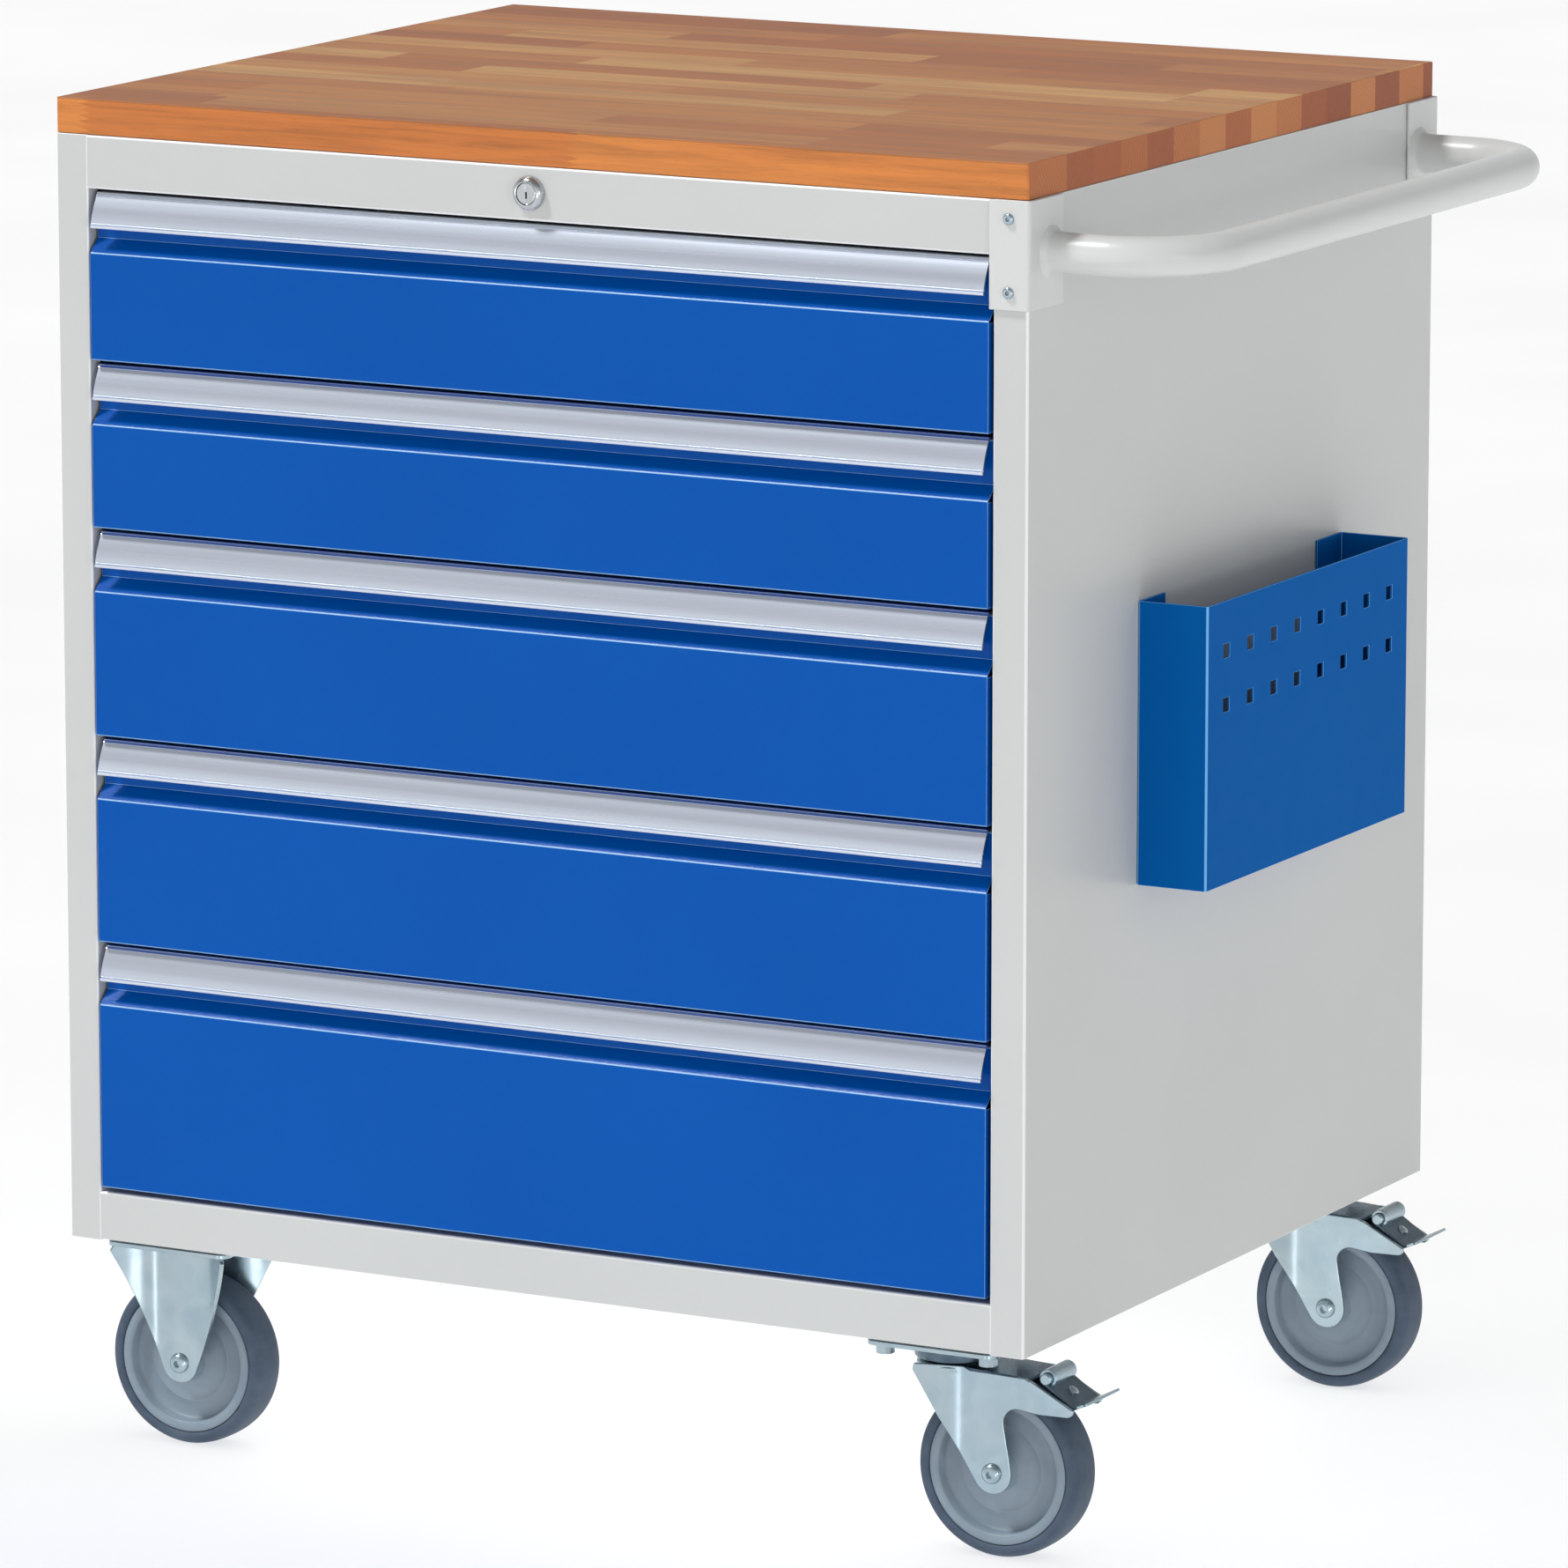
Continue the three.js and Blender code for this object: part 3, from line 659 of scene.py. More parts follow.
def rails():
    low, high = span("top_rail")
    lock = middle("lock_housing")
    hole, top_fold = 7.5, 20

    def for_lock(p):
        return abs(p.x - lock.x) < hole and abs(p.z - lock.z) < hole and p.y < 1

    levels = [low.x - SEAM, lock.x - hole, lock.x + hole, high.x + SEAM]
    path = [(top_fold, high.z), (0, high.z), (0, lock.z + hole), (0, lock.z - hole), (0, low.z)]
    top = bent_sheet([*path, (RETURN, low.z)], SHEET, levels, at_width, opening=for_lock)
    add_piece("upper_rail", GREY, [top], ["top_rail"])
    low, high = span("bottom_rail")
    path = [(RETURN, high.z), (0, high.z), (0, low.z)]
    bottom = bent_sheet(path, SHEET, [low.x - SEAM, high.x + SEAM], at_width)
    add_piece("lower_rail", GREY, [bottom], ["bottom_rail"])


def dome(centre, radius, height):
    """A blind rivet's domed head, out along Y."""
    curve = [(radius * cos(t), height * sin(t)) for t in (0.4, 0.8, 1.2)]
    return turned([(0, 0), (radius, 0), *curve, (0, height)], centre, sides=24)


def back_wall():
    low, high = span("back_panel")
    fold = 12
    path = [(high.y - fold, low.z), (high.y, low.z), (high.y, high.z), (high.y - fold, high.z)]
    sheet = bent_sheet(path, SHEET, [low.x, high.x], at_width, inner=1.2)
    rivets = []
    edge, end, count = 24, 40, 5
    for k in range(count):
        z = low.z + end + (high.z - low.z - 2 * end) * k / (count - 1)
        rivets += [dome((x, high.y, z), 3.2, 1.4) for x in (low.x + edge, high.x - edge)]
    add_piece("rear_wall", GREY, [sheet], ["back_panel"])
    add_piece("rear_wall_rivets", ZINC, rivets, bevel=0)


def dress(node, look):
    """A CAD node that stays: rounded edges by modifiers, and its look."""
    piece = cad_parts[node]
    modify(piece, "WELD", merge_threshold=1e-5)
    modify(piece, "DECIMATE", decimate_type="DISSOLVE", angle_limit=radians(1))
    round_edges(piece, 0.5, 2, 40)
    piece.data.materials.clear()
    piece.data.materials.append(look.material)


# Drawers


def grip_outline(top):
    """The aluminium profile's section: a leaning face with a label strip, a groove and a lip."""
    face_top, face_low, wall = 4.0, -5.0, 1.8
    strip_top, strip_low, groove, lip_low = top - 2.6, top - 21.4, top - 22.3, top - 25

    def lean(z, depth=0.0):
        t = (top - 1 - z) / (strip_top - strip_low + 2)
        t = min(1, max(0, t))
        return face_top + (face_low - face_top) * (0.5 * t + 0.5 * sin(t * pi / 2)) + depth

    steps = [strip_top - (strip_top - strip_low) * k / 10 for k in range(11)]
    outer = [(RETURN, top), (face_top + 1.2, top), (face_top + 0.35, top - 0.35), (face_top, top - 1.2)]
    outer += [(lean(strip_top) - 0.1, strip_top + 0.2)]
    outer += [(lean(z, 0.3), z) for z in steps]
    outer += [(face_low + 0.35, strip_low - 0.1), (face_low + 0.9, groove + 0.3), (face_low + 0.9, groove)]
    outer += [(face_low - 0.3, groove - 0.4)]
    outer += arc(face_low + 0.5, lip_low + 0.8, 0.8, 180, 360, 6)
    inner = [(lean(z, wall), z) for z in reversed(steps[1:])]
    inner += [(face_top + wall + 0.6, top - wall), (RETURN, top - wall)]
    return [*outer, (face_low + wall, groove), *inner]


def drawer_front(name):
    low, high = span(f"{name}_front")
    top = span(f"{name}_grip")[1].z
    face, recess, recess_drop, slope = low.y, 8.5, 43, 10
    bend = top - recess_drop
    path = [(RETURN, high.z), (recess, high.z), (recess, bend + slope), (face, bend, 1.3)]
    path += [(face, low.z, 0.1), (RETURN, low.z)]
    sheet = bent_sheet(path, DRAWER_SHEET, [low.x, high.x], at_width, inner=0.6)
    inset, grip_end = 0.1, 2.5
    end = round_rectangle(face + 0.7, RETURN - 1, low.z + 0.7, bend - 1, 1)
    sides = low.x + inset, high.x - inset - DRAWER_SHEET
    ends = [prism(end, at_width, x, x + DRAWER_SHEET) for x in sides]
    add_piece(f"{name}_face", BLUE, [sheet, *ends], [f"{name}_front"], name, bevel=0.25)
    low, high = span(f"{name}_grip")
    strip = [prism(grip_outline(top), at_width, low.x + grip_end, high.x - grip_end)]
    add_piece(f"{name}_grip_strip", ALUMINIUM, strip, [f"{name}_grip"], name, bevel=0, crease=24)


def tray(name):
    """An open box with hemmed rims, slotted side walls for dividers and a rail on each side."""
    low, high = span(f"{name}_tray")
    side_low, side_high = STILE_EDGE + TRAY_GAP, WIDTH - STILE_EDGE - TRAY_GAP
    hem, hem_depth, w, tight, foot = 2.9, 7, DRAWER_SHEET, 0.25, 12
    bottom, rim = low.z, high.z

    slot_pitch, slot_half, plain_end, shortest_slot = 26, 1.6, 40, 20
    count = int((high.y - low.y - 2 * plain_end) // slot_pitch)
    first = (low.y + high.y - slot_pitch * (count - 1)) / 2
    slot_edges, in_slot = bands([first + slot_pitch * k for k in range(count)], slot_half)
    slot_low, slot_high = bottom + SLIDE_AXIS_LIFT + 14, rim - 12
    has_slots = slot_high - slot_low > shortest_slot
    cuts = [slot_high, slot_low] if has_slots else []

    def side_opening(p):
        return has_slots and abs(p.x - side_low) < 1 and slot_low < p.z < slot_high and in_slot(p.y)

    corners = [(side_low + hem, rim - hem_depth), (side_low + hem, rim, tight), (side_low, rim, tight)]
    corners += [(side_low, z) for z in cuts]
    corners += [(side_low, bottom), (WIDTH / 2, bottom)]
    levels = [low.y + 1.4, *slot_edges, high.y - 1.4]
    half = bent_sheet(corners, w, levels, at_depth, inner=0.8, opening=side_opening)
    floor = bottom + 1.5
    rear = [(high.y - hem, rim - hem_depth), (high.y - hem, rim, tight), (high.y, rim, tight)]
    rear += [(high.y, floor), (high.y - foot, floor)]
    front = [(low.y + foot, floor), (low.y, floor), (low.y, rim - 0.5)]
    width = [side_low + 1.6, side_high - 1.6]
    walls = [bent_sheet(path[::-1], w, width, at_width, inner=0.8) for path in (rear, front)]
    shapes = [half, opposite(half), *walls]
    add_piece(f"{name}_box", BLUE, shapes, [f"{name}_tray"], name, bevel=0.2)

    # The inner slide member on each side: a small C rail with its stop dimples.
    axis, tip = bottom + SLIDE_AXIS_LIFT, 6.5
    inner, outer = side_low - 0.3, low.x
    path = [(outer, axis + tip), (inner, axis + tip), (inner, axis - tip), (outer, axis - tip)]
    rail = bent_sheet(path, 1.2, [low.y + 4, high.y - 6], at_depth, inner=0.8)
    dimple = [(0, -2.4), (2.4, -2.4), (2.6, 0), (0, 0)]
    stops = [(outer + 4, y, axis + tip - 1.4) for y in (low.y + 30, high.y - 60)]
    shapes = [rail, *[turned(dimple, stop, "z", 20) for stop in stops]]
    shapes += [opposite(shape) for shape in shapes]
    add_piece(f"{name}_rails", GALVANISED, shapes, body=name, bevel=0.15)


def slide(name, side):
    """The middle slide member: a grooved channel with rolled edges and window slots in its web."""
    low, high = span(f"{name}_slide_left")
    axis = (low.z + high.z) / 2
    half, lip = (high.z - low.z) / 2, 6.2
    w, first, pitch, window_length, window_height = 1.6, 71, 90, 22, 6
    edges, in_window = bands([low.y + first + pitch * k for k in range(6)], window_length / 2)

    def opening(p):
        return abs(p.z - axis) < window_height / 2 and in_window(p.y) and p.x < low.x + 1

    upper = [(high.x, half - lip), (high.x, half), (low.x, half), (low.x, window_height / 2)]
    path = [(x, axis + rise) for x, rise in upper] + [(x, axis - rise) for x, rise in upper[::-1]]
    shape = bent_sheet(path, w, [low.y, *edges, high.y], at_depth, inner=1.0, opening=opening)
    shapes = [opposite(shape) if side == "right" else shape]
    channel, node, body = f"{name}_channel_{side}", f"{name}_slide_{side}", f"{name}_slides"
    add_piece(channel, GALVANISED, shapes, [node], body, bevel=0.2)


# Central lock


def lock():
    centre = middle("lock_housing")
    centre.y = 0
    housing = [
        (6.3, 24), (6.3, -3.4), (7.9, -3.4), (7.9, -5.3), (8.1, -5.7), (8.7, -5.8), (9.9, -5.1),
        (10.9, -4.1), (11.6, -2.8), (11.95, -1.5), (12.0, -0.3), (7.3, -0.3), (7.3, 24),
    ]
    add_piece("lock_rosette", CHROME, [turned(housing, centre)], ["lock_housing"], bevel=0)

    rod_end, throw = span("lock_cylinder")[1].y - 8, 8
    plug = [(0, -5.5), (5.5, -5.5), (7.2, -5.3), (7.6, -4.9), (7.6, -3.7), (6.1, -3.7), (6.1, 26), (0, 26)]
    rod = [(0, 25), (4, 25), (4, rod_end), (0, rod_end)]
    link = arc(centre.x, centre.z, 5, 90, 270, 10) + arc(centre.x + throw, centre.z, 5, -90, 90, 10)
    pin = [(0, -2), (2.5, -2), (2.5, 7.5), (2, 8), (0, 8)]
    pin = turned([(r, rod_end + h) for r, h in pin], centre + Vector((throw, 0, 0)), sides=24)
    barrel = [turned(plug, centre)]
    barrel = add_piece("lock_plug", CHROME, barrel, ["lock_cylinder"], "lock_plug", bevel=0.15)
    groove = block((centre.x - 0.8, -8, centre.z - 5.6), (centre.x + 0.8, -5.0, centre.z + 5.6))
    slot = block((centre.x - 0.65, -7, centre.z - 3.4), (centre.x + 0.65, 6, centre.z + 1.2))
    hollow_out(barrel, groove)
    hollow_out(barrel, slot)
    shapes = [turned(rod, centre, sides=32), prism(link, at_depth, rod_end - 4, rod_end), pin]
    add_piece("lock_rod", ZINC, shapes, body="lock_plug")


# Right side fittings


def pan_screw(centre, way):
    """A button-head screw with a hexagon socket, its head out along Y by way (1 or -1)."""
    r, h = 4.1, 2.3
    profile = [
        (0, -1.4), (1.7, -1.4, 6), (1.7, h - 0.15, 6), (2.1, h), (2.9, h - 0.15), (3.5, h - 0.6),
        (3.9, h - 1.2), (r, 0.4), (r, 0), (2.6, 0), (2.6, -2.2), (0, -2.2),
    ]
    return turned([(p[0], p[1] * way, *p[2:]) for p in profile], centre, sides=48)


def push_handle():
    low, high = span("push_handle")
    radius, bend, inset, drop, gap = 14, 62, 30, 38, 0.3
    wall, reach, z = WIDTH + gap, high.x - radius, BODY_TOP + gap - drop
    near, far = inset, DEPTH - inset
    collar = [wall + out for out in (1, 2.4, 3.6, 5, 7, 12)]
    line = [(x, near) for x in collar]
    line += arc(reach - bend, near + bend, bend, -90, 0, 24)
    line += arc(reach - bend, far - bend, bend, 0, 90, 24)
    line += [(x, far) for x in reversed(collar)]
    weld = [5.0, 4.2, 2.6, 1.2, 0.3]
    radii = [radius] * len(line)
    for k, extra in enumerate(weld):
        radii[k] += extra
        radii[-1 - k] += extra
    bar = tube([Vector((x, y, z)) for x, y in line], radii, sides=56)

    sheet, height, front_leg, side_leg = 2, 75, 31, 50
    outside, corner, levels = wall + sheet, low.y, [BODY_TOP - height + gap, BODY_TOP]
    path = [(outside - front_leg, corner), (outside, corner), (outside, corner + side_leg)]
    bracket = bent_sheet(path, sheet, levels, at_level, inner=0.7)
    shapes = [bar, bracket, flipped(bracket, 1, DEPTH / 2)]
    add_piece("side_handle", SOFT_GREY, shapes, ["push_handle"], bevel=0.5, rounds=3)

    screw_x, screw_drops = WIDTH - 14, (13, 63)
    screws = [
        pan_screw((screw_x, y, BODY_TOP + gap - below), way)
        for below in screw_drops for y, way in ((low.y, -1), (high.y, 1))
    ]
    add_piece("bracket_screws", ZINC, screws, bevel=0)


def document_pocket():
    low, high = span("document_pocket")
    half_hole, pitch, count, first = 5, 38, 8, 30
    columns, in_column = bands([low.y + first + pitch * k for k in range(count)], half_hole)
    rows, in_row = bands([high.z - drop for drop in (73, 35)], half_hole)

    def in_hole(p):
        return p.x > high.x - 2 and in_column(p.y) and in_row(p.z)

    near_flange, far_flange, screw_in, screw_up = 40, 42, 22, 30
    path = [(low.x, low.y + near_flange), (low.x, low.y), (high.x, low.y)]
    path += [(high.x, y) for y in columns]
    path += [(high.x, high.y), (low.x, high.y), (low.x, high.y - far_flange)]
    levels = [low.z, *rows, high.z]
    wrap = bent_sheet(path, SHEET, levels, at_level, inner=0.6, opening=in_hole)
    floor = round_rectangle(low.x + 0.4, high.x - 0.9, low.y + 0.9, high.y - 0.9, 2)
    shapes = [wrap, prism(floor, at_level, low.z + 0.4, low.z + 1.9)]
    add_piece("side_pocket", MATT_BLUE, shapes, ["document_pocket"], bevel=0.25, rounds=3)

    # Screws through the pocket's flanges into the side wall, with their heads inside the pocket.
    heads = []
    points, faces = pan_screw((0, 0, 0), 1)
    for y in (low.y + screw_in, high.y - screw_in):
        for z in (low.z + screw_up, high.z - screw_up):
            heads.append(([(low.x + SHEET + p.y, y + p.x, z + p.z) for p in points], faces))
    add_piece("pocket_screws", ZINC, heads, bevel=0)


# Casters

EYE = 14.5  # radius of a leg's end about the axle


def eye_arc(centre, left_point, right_point):
    """The leg's round end, from where its left edge touches it to where its right edge does."""
    ends = []
    for point, side in ((left_point, 1), (right_point, -1)):
        a, b = point[0] - centre[0], point[1] - centre[1]
        spread = acos(EYE / hypot(a, b)) * side
        ends.append(degrees(atan2(b, a) + spread) % 360)
    start, end = ends
    return arc(*centre, EYE, start, end if end > start else end + 360, 18)


def wheel(name, body):
    centre = middle(f"{name}_rim")
    half_rim = [
        (6.6, 20), (13, 20), (13.8, 19.2), (14.6, 13.5), (15.8, 12), (19, 11.4), (23, 9.4),
        (29.4, 8), (30.4, 8.7), (31.4, 8.7), (32.4, 7.9), (40.5, 7), (43.2, 7.6), (44.6, 9.4),
        (45.6, 15), (46.6, 16), (51.8, 16), (52.6, 15.4),
    ]
    half_tyre = [
        (53.0, 15.2), (53.8, 16.4), (56, 17), (58.6, 16.5), (60.4, 15), (61.6, 12.6), (62.2, 9),
        (62.45, 4), (62.5, 0),
    ]
    kinds = ("rim", PLASTIC, half_rim, 96, 50), ("tyre", RUBBER, half_tyre, 128, 60)
    for part, look, half, sides, crease in kinds:
        mirrored = [(r, -y) for r, y in reversed(half) if y]
        shape = turned([*half, *mirrored], centre, sides=sides)
        node = f"{name}_{part}"
        add_piece(f"{name}_wheel_{part}", look, [shape], [node], body, bevel=0, crease=crease)


def axle(name, body):
    """An axle bolt with a socket head towards the front and a nut behind."""
    centre = middle(f"{name}_axle")
    seat, face = 24.3, 28.2
    profile = [
        (0, 2.6 - face), (2.9, 2.6 - face, 6), (2.9, 0.1 - face, 6), (3.4, -0.2 - face),
        (4.5, 0.1 - face), (5.9, 0.9 - face), (7.0, 2.2 - face), (7.3, -0.6 - seat),
        (7.3, -seat), (6, -seat), (6, seat), (9.6, seat), (9.6, seat + 0.8), (8.6, seat + 0.8, 6),
        (8.6, seat + 3.6, 6), (7.0, seat + 4.1), (4.4, seat + 4.1), (4.4, seat + 5.2),
        (3.8, seat + 5.6), (0, seat + 5.6),
    ]
    shapes = [turned(profile, centre, sides=48)]
    add_piece(f"{name}_axle_bolt", ZINC, shapes, [f"{name}_axle"], body, bevel=0, crease=28)


def hex_bolt(x, y, seat):
    """A hexagon bolt with its washer, head down, under a plate at height seat."""
    washer = [(0, 0), (8.5, 0), (8.5, -1.4), (8.2, -1.6), (0, -1.6)]
    head = [(0, -1.5), (7.4, -1.5, 6), (7.4, -6.4, 6), (6.3, -7.1), (5.6, -7.1), (5.2, -6.8), (0, -6.8)]
    return [turned(profile, (x, y, seat), "z", 48) for profile in (washer, head)]


def plate_bolts(name, x, y, seat, across, along=(0,)):
    shapes = [s for dx in across for dy in along for s in hex_bolt(x + dx, y + dy, seat)]
    add_piece(f"{name}_plate_bolts", ZINC, shapes, bevel=0, crease=28)


def plate_shape(name):
    """A caster's plate under the cabinet, and the height of its underside."""
    low, high = span(name)
    thickness, corner = 3.5, 7
    seat = high.z - thickness
    return prism(round_rectangle(low.x, high.x, low.y, high.y, corner), at_level, seat, high.z), seat


def in_place(shape, x, y):
    """A leg drawn about the caster's centre with y outward to the front, and its mirror image."""
    points, faces = shape
    return [([(x + a, y + side * b, z) for a, b, z in points], faces) for side in (-1, 1)]


def fixed_caster(name):
    axle_at = middle(f"{name}_axle")
    x, y = axle_at.x, axle_at.y
    plate, seat = plate_shape(f"{name}_fork")
    web, flare, leg_face, rim_face = 15, 46, 24, 42
    centre = (0, axle_at.z)
    left, right = (-46, seat - 4), (46, seat - 4)
    outline = [left, *eye_arc(centre, left, right), right, (44, seat + 1), (-44, seat + 1)]

    def rise(a, _):
        return leg_face + (rim_face - leg_face) * (max(0, abs(a) - web) / (flare - web)) ** 2

    legs = in_place(pressed_plate(outline, rise, 3), x, y)
    shapes = [plate, *legs]
    add_piece(f"{name}_housing", ZINC, shapes, [f"{name}_fork"], bevel=0.6, rounds=3)
    plate_bolts(name, x, y, seat, (-38, 38))
    axle(name, "cabinet")
    wheel(name, f"{name}_wheel")


def swivel_caster(name):
    pivot = middle(f"{name}_plate")
    axle_at = middle(f"{name}_axle")
    x, y = pivot.x, pivot.y
    plate, seat = plate_shape(f"{name}_plate")
    crown_top, crown_radius, trail = 137, 28, axle_at.x - pivot.x

    # Plate with the ball race under it and the kingpin's rivet.
    add_piece(f"{name}_top_plate", ZINC, [plate], [f"{name}_plate"], bevel=0.6, rounds=3)
    race = [
        (9, seat), (27, seat), (29.5, seat - 1.5), (30, seat - 5), (29, crown_top + 1.2),
        (27, crown_top + 0.4), (9, crown_top + 0.4),
    ]
    pin = [(0, seat), (6, seat), (6, 131), (11, 131), (11, 129.8), (9.5, 128.4), (0, 128.4)]
    shapes = [turned(profile, (x, y, 0), "z") for profile in (race, pin)]
    # The ball race and the kingpin's rivet take the darkened zinc: painted shade under the plate.
    add_piece(f"{name}_ball_race", PAINTED_SHADE_ZINC, shapes)
    plate_bolts(name, x, y, seat, (-40, 40), (-30, 30))

    # Fork: crown, saddle and two legs whose front edges flare out.
    crease, splay, round_fold, leg_face = 17.6, 0.32, 7, 24
    centre = (trail, axle_at.z)
    outline = [
        (-17.5, 132), (0, 99), *eye_arc(centre, (0, 99), (trail + 12, 82)),
        (trail + 13, 74), (trail + 11, 84), (trail + 8.7, 98),
        *arc(trail + 19.5, 99.5, 11, 172, 86, 8),
        (trail + 36, 108.6), (trail + 54, 108.9),
        *arc(trail + 57.5, 113.4, 4.4, 275, 375, 6),
        (trail + 30, 131.4), *arc(trail + 24, 127.5, 5.6, 50, 88, 4),
        (22.5, 134), (17.6, 136.2), (-16.5, crown_top - 0.6),
    ]

    def rise(a, _):
        past = max(0, crease - a)
        return leg_face + splay * (hypot(past, round_fold) - round_fold)

    legs = in_place(pressed_plate(outline, rise, 3), x, y)
    crown = turned([
        (7, crown_top - 4), (7, crown_top - 0.6), (22.5, crown_top - 0.6), (25.5, crown_top - 1.2),
        (27.5, crown_top - 3), (crown_radius, crown_top - 6), (crown_radius - 3, crown_top - 6),
        (24.5, crown_top - 4),
    ], (x, y, 0), "z")
    half = leg_face - 1.5
    saddle_path = [(x + trail + 26, 129.6), (x + trail + 17, 131), (x + 24, 132.6), (x + 8, 134)]
    saddle = bent_sheet(saddle_path[::-1], 2.6, [y - half, y + half], at_depth, inner=4)
    swivel, shapes = f"{name}_swivel", [*legs, crown]
    add_piece(f"{name}_housing", ZINC, shapes, [f"{name}_fork"], swivel, bevel=0.7, rounds=3)
    # The saddle takes the darkened zinc: painted shade under the cabinet.
    add_piece(f"{name}_saddle", PAINTED_SHADE_ZINC, [saddle], body=swivel, bevel=0.5)

    brake_pedal(name, x, y, trail)
    axle(name, swivel)
    wheel(name, f"{name}_wheel")


def brake_pedal(name, x, y, trail):
    """Rolled eye, sloping tread with a boss, a wider turned-up lip and the brake shoe."""
    roll_x, roll_z = x + trail + 39, 133
    eye = [(4.3, -16), (6.2, -16), (6.6, -15.5), (6.6, 15.5), (6.2, 16), (4.3, 16)]
    pin = [(0, -20.4), (3.4, -20.4), (4.1, -19.8), (4.1, 19.8), (3.4, 20.4), (0, 20.4)]
    heel, knee, tip = (roll_x - 1, roll_z - 4.4), (x + trail + 60.5, 113.4), (x + trail + 74.5, 119.8)
    lip_starts, widens, tread_half, lip_more = knee[0] + 3, knee[0] + 8, 19.6, 5.2

    def spot(a, b, level):
        half = tread_half + lip_more * smooth((a - widens) / 4)
        return a, y + level * half, b

    levels = [-1, -0.9, -0.5, 0, 0.5, 0.9, 1]
    climb = (tip[1] - knee[1]) / (tip[0] - knee[0])
    steps = [(a, knee[1] + climb * (a - knee[0])) for a in (lip_starts, *(widens + k for k in range(5)))]
    tread = bent_sheet([heel, knee, steps[0]], 2, levels, spot, inner=1.2)
    lip = bent_sheet([*steps, tip], 2, levels, spot)
    slope = Vector((knee[0] - heel[0], 0, knee[1] - heel[1])).normalized()
    up = Vector((-slope.z, 0, slope.x))
    spine = Vector((heel[0], y, heel[1])) + slope * 14 + up * 2
    boss = [(0, -1), (4.2, -1), (4, 0.9), (3.2, 1.7), (1.6, 2.1), (0, 2.1)]
    points, faces = turned(boss, (0, 0, 0), "z", 28)
    boss = [spine + slope * p.x + Vector((0, p.y, 0)) + up * p.z for p in points], faces
    shoe = [(roll_x + 3, 124), (roll_x - 1, 121), (roll_x + 3, 114.2), (roll_x + 14, 115)]
    roll = (roll_x, y, roll_z)
    bright = [turned(eye, roll, sides=40), turned(pin, roll, sides=32), boss, lip]
    add_piece(f"{name}_pedal_roll", ZINC, bright, body=f"{name}_brake")
    # The tread and the shoe take the darkened zinc: painted shade under the cabinet.
    dark, node = [tread, prism(shoe, at_depth, y - 12, y + 12)], f"{name}_brake_pedal"
    add_piece(f"{name}_pedal", PAINTED_SHADE_ZINC, dark, [node], f"{name}_brake", bevel=0.5, rounds=3)


# Floor, light and camera


def look_back(thing, azimuth, elevation):
    """Points a lamp or camera inward from a direction in degrees, and returns the way out to it."""
    turn, rise = radians(azimuth), radians(elevation)
    out = Vector((sin(turn) * cos(rise), -cos(turn) * cos(rise), sin(rise)))
    thing.rotation_euler = (-out).to_track_quat("-Z", "Y").to_euler()
    return out


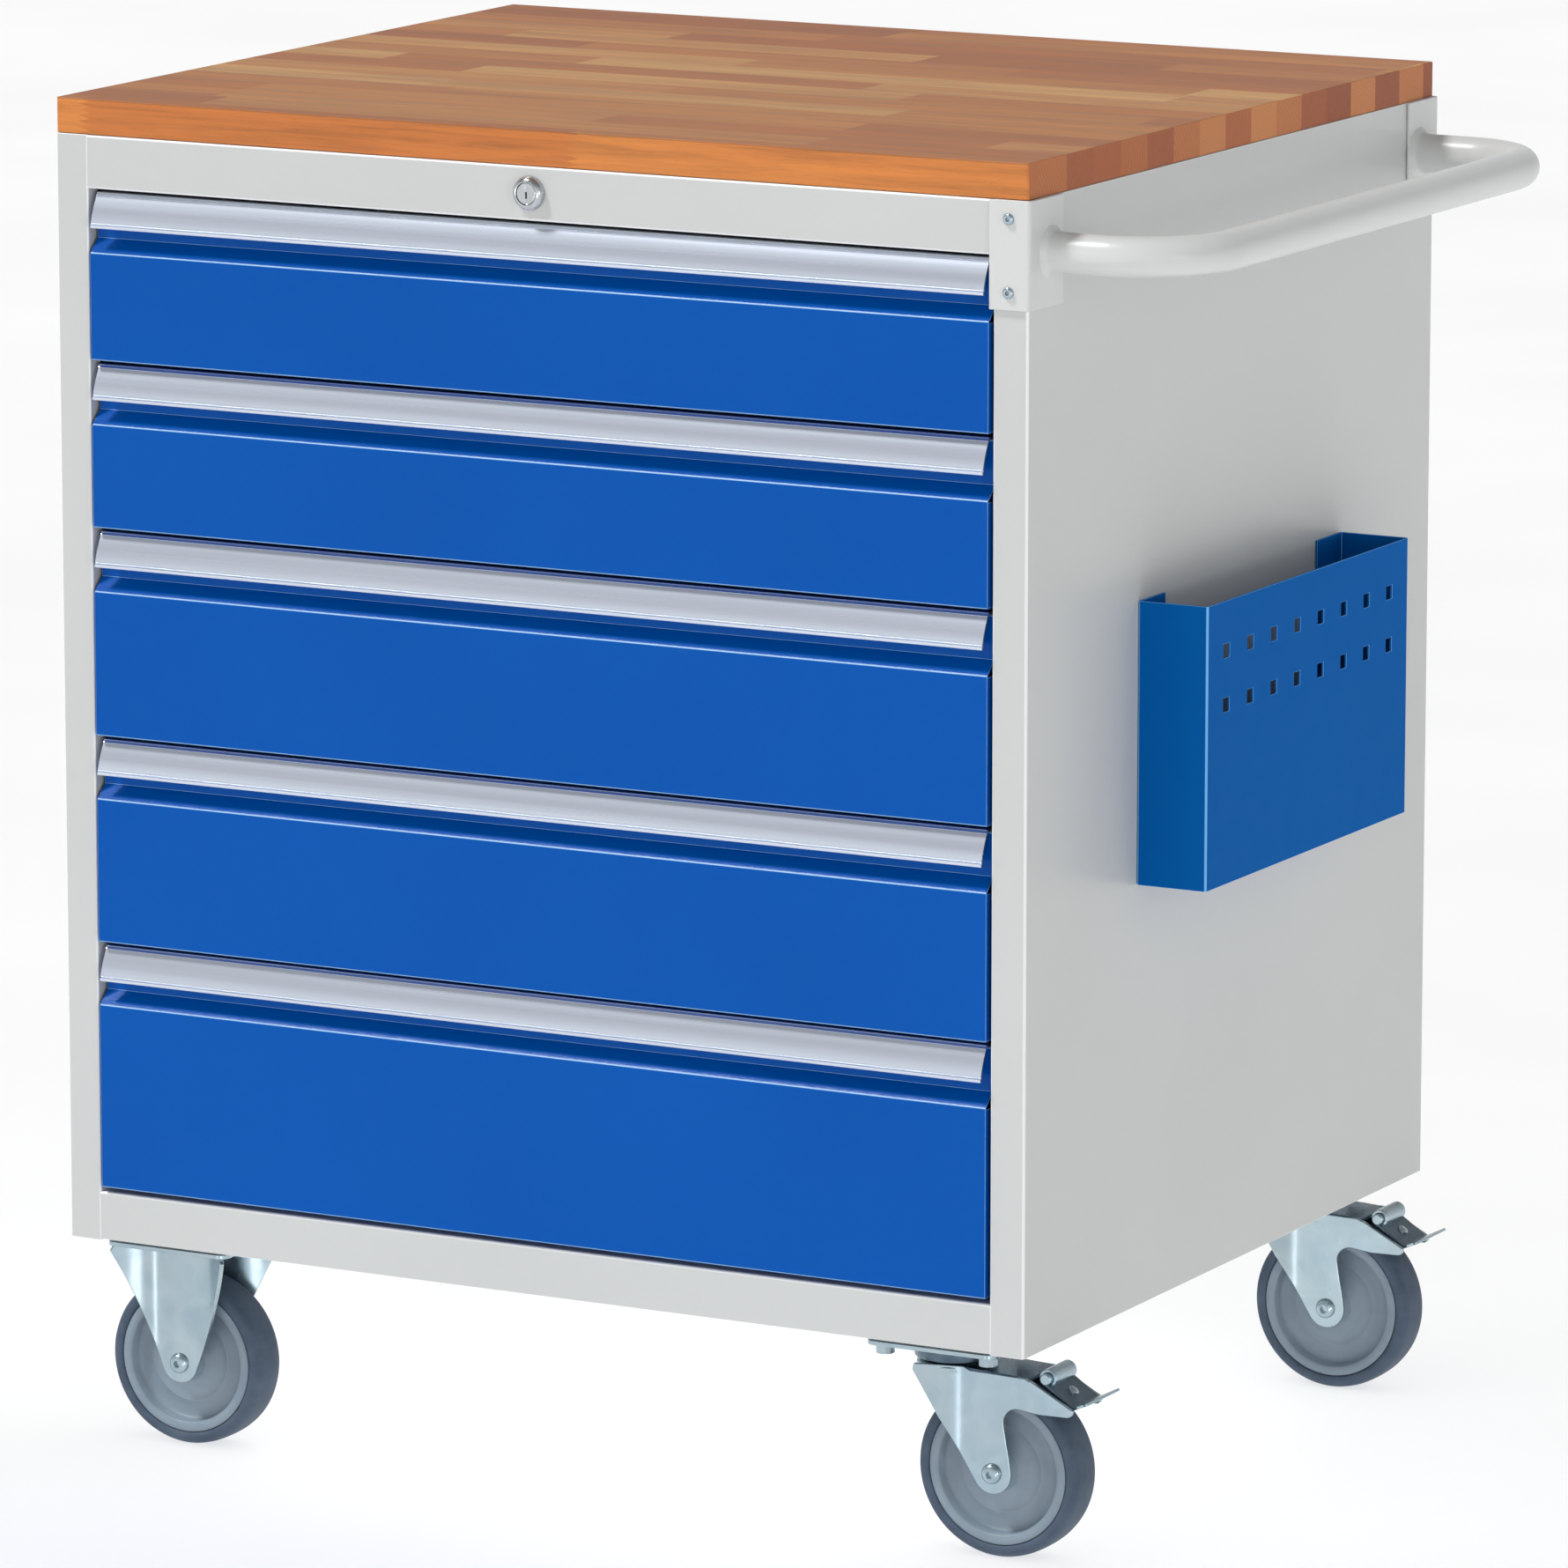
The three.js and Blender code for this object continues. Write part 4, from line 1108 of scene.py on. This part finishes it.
def studio():
    """A wide pale floor that runs out of sight, a pale sky and five soft suns.

    floor_wash lights only the floor. The others light only the rest, and the floor doesn't block
    them, so that the two low ones can glint on folds."""
    half = 40
    mesh = bpy.data.meshes.new("floor")
    corners = [(-half, -half, 0), (half, -half, 0), (half, half, 0), (-half, half, 0)]
    mesh.from_pydata(corners, [], [(0, 1, 2, 3)])
    floor = new_object("floor", mesh)
    paint = Look("floor_paint", "body_grey")
    paint.colour(paint.ramp(paint.noise(1.5), [(0.3, 0.86), (0.7, 0.90)]))
    paint.roughness(paint.noise(4), 0.75, 0.85)
    mesh.materials.append(paint.material)

    world = bpy.data.worlds.new("studio")
    bpy.context.scene.world = world
    world.use_nodes = True
    sky = Nodes(world.node_tree, "Generated")
    _, y, z = sky.add("SeparateXYZ", {0: sky.where}).node.outputs
    facing = sky.add("MapRange", {"Value": y, "From Min": 1, "From Max": -1})
    by_height = sky.ramp(z, [(0.0, 1.12), (0.3, 0.92), (0.6, 0.42), (1.0, 0.30)])
    by_side = sky.ramp(facing, [(0.0, 0.70), (0.6, 0.72), (0.97, 1.0)])
    sky.links.new(sky.times(by_height, by_side), sky.nodes["Background"].inputs["Color"])

    only_floor = bpy.data.collections.new("only_floor")
    only_floor.objects.link(floor)
    not_floor = bpy.data.collections.new("not_floor")
    not_floor.objects.link(floor)
    not_floor.collection_objects[0].light_linking.link_state = "EXCLUDE"
    # Each sun's azimuth, elevation and apparent width in degrees, and its strength.
    for name, azimuth, elevation, width, strength in (
        ("key", -56, 56, 9, 2.2),
        ("side", 62, 2, 8, 0.30),
        ("low_front", -12, -11, 8, 0.07),
        ("low_right", 34, -11, 20, 0.20),
        ("floor_wash", -56, 56, 9, 2.8),
    ):
        data = bpy.data.lights.new(name, "SUN")
        data.energy = strength
        data.angle = radians(width)
        lamp = new_object(name, data)
        look_back(lamp, azimuth, elevation)
        lit = only_floor if name == "floor_wash" else not_floor
        lamp.light_linking.receiver_collection = lit
        lamp.light_linking.blocker_collection = lit


def camera():
    """The camera, placed by its angles in degrees round a point of the cabinet."""
    azimuth, elevation, distance = 28.26, 10.934, 7.346
    aim = Vector((-0.035, 0.0011, 0.4687))
    data = bpy.data.cameras.new("camera")
    data.lens = 233.13
    data.sensor_width = 36
    data.clip_end = 200
    eye = new_object("camera", data)
    eye.location = aim + look_back(eye, azimuth, elevation) * distance
    bpy.context.scene.camera = eye


camera()
studio()
worktop()
side_panels()
rails()
back_wall()
for carried, look in (
    ("top_panel", GREY), ("base_panel", GREY), ("runner_frame_left", GALVANISED),
    ("runner_frame_right", GALVANISED), ("lock_bar", ZINC),
):
    dress(carried, look)
for number in range(1, 6):
    drawer = f"drawer_{number}"
    drawer_front(drawer)
    tray(drawer)
    slide(drawer, "left")
    slide(drawer, "right")
lock()
push_handle()
document_pocket()
for end in ("front", "rear"):
    fixed_caster(f"{end}_left")
    swivel_caster(f"{end}_right")
bpy.context.scene.view_settings.view_transform = "Standard"
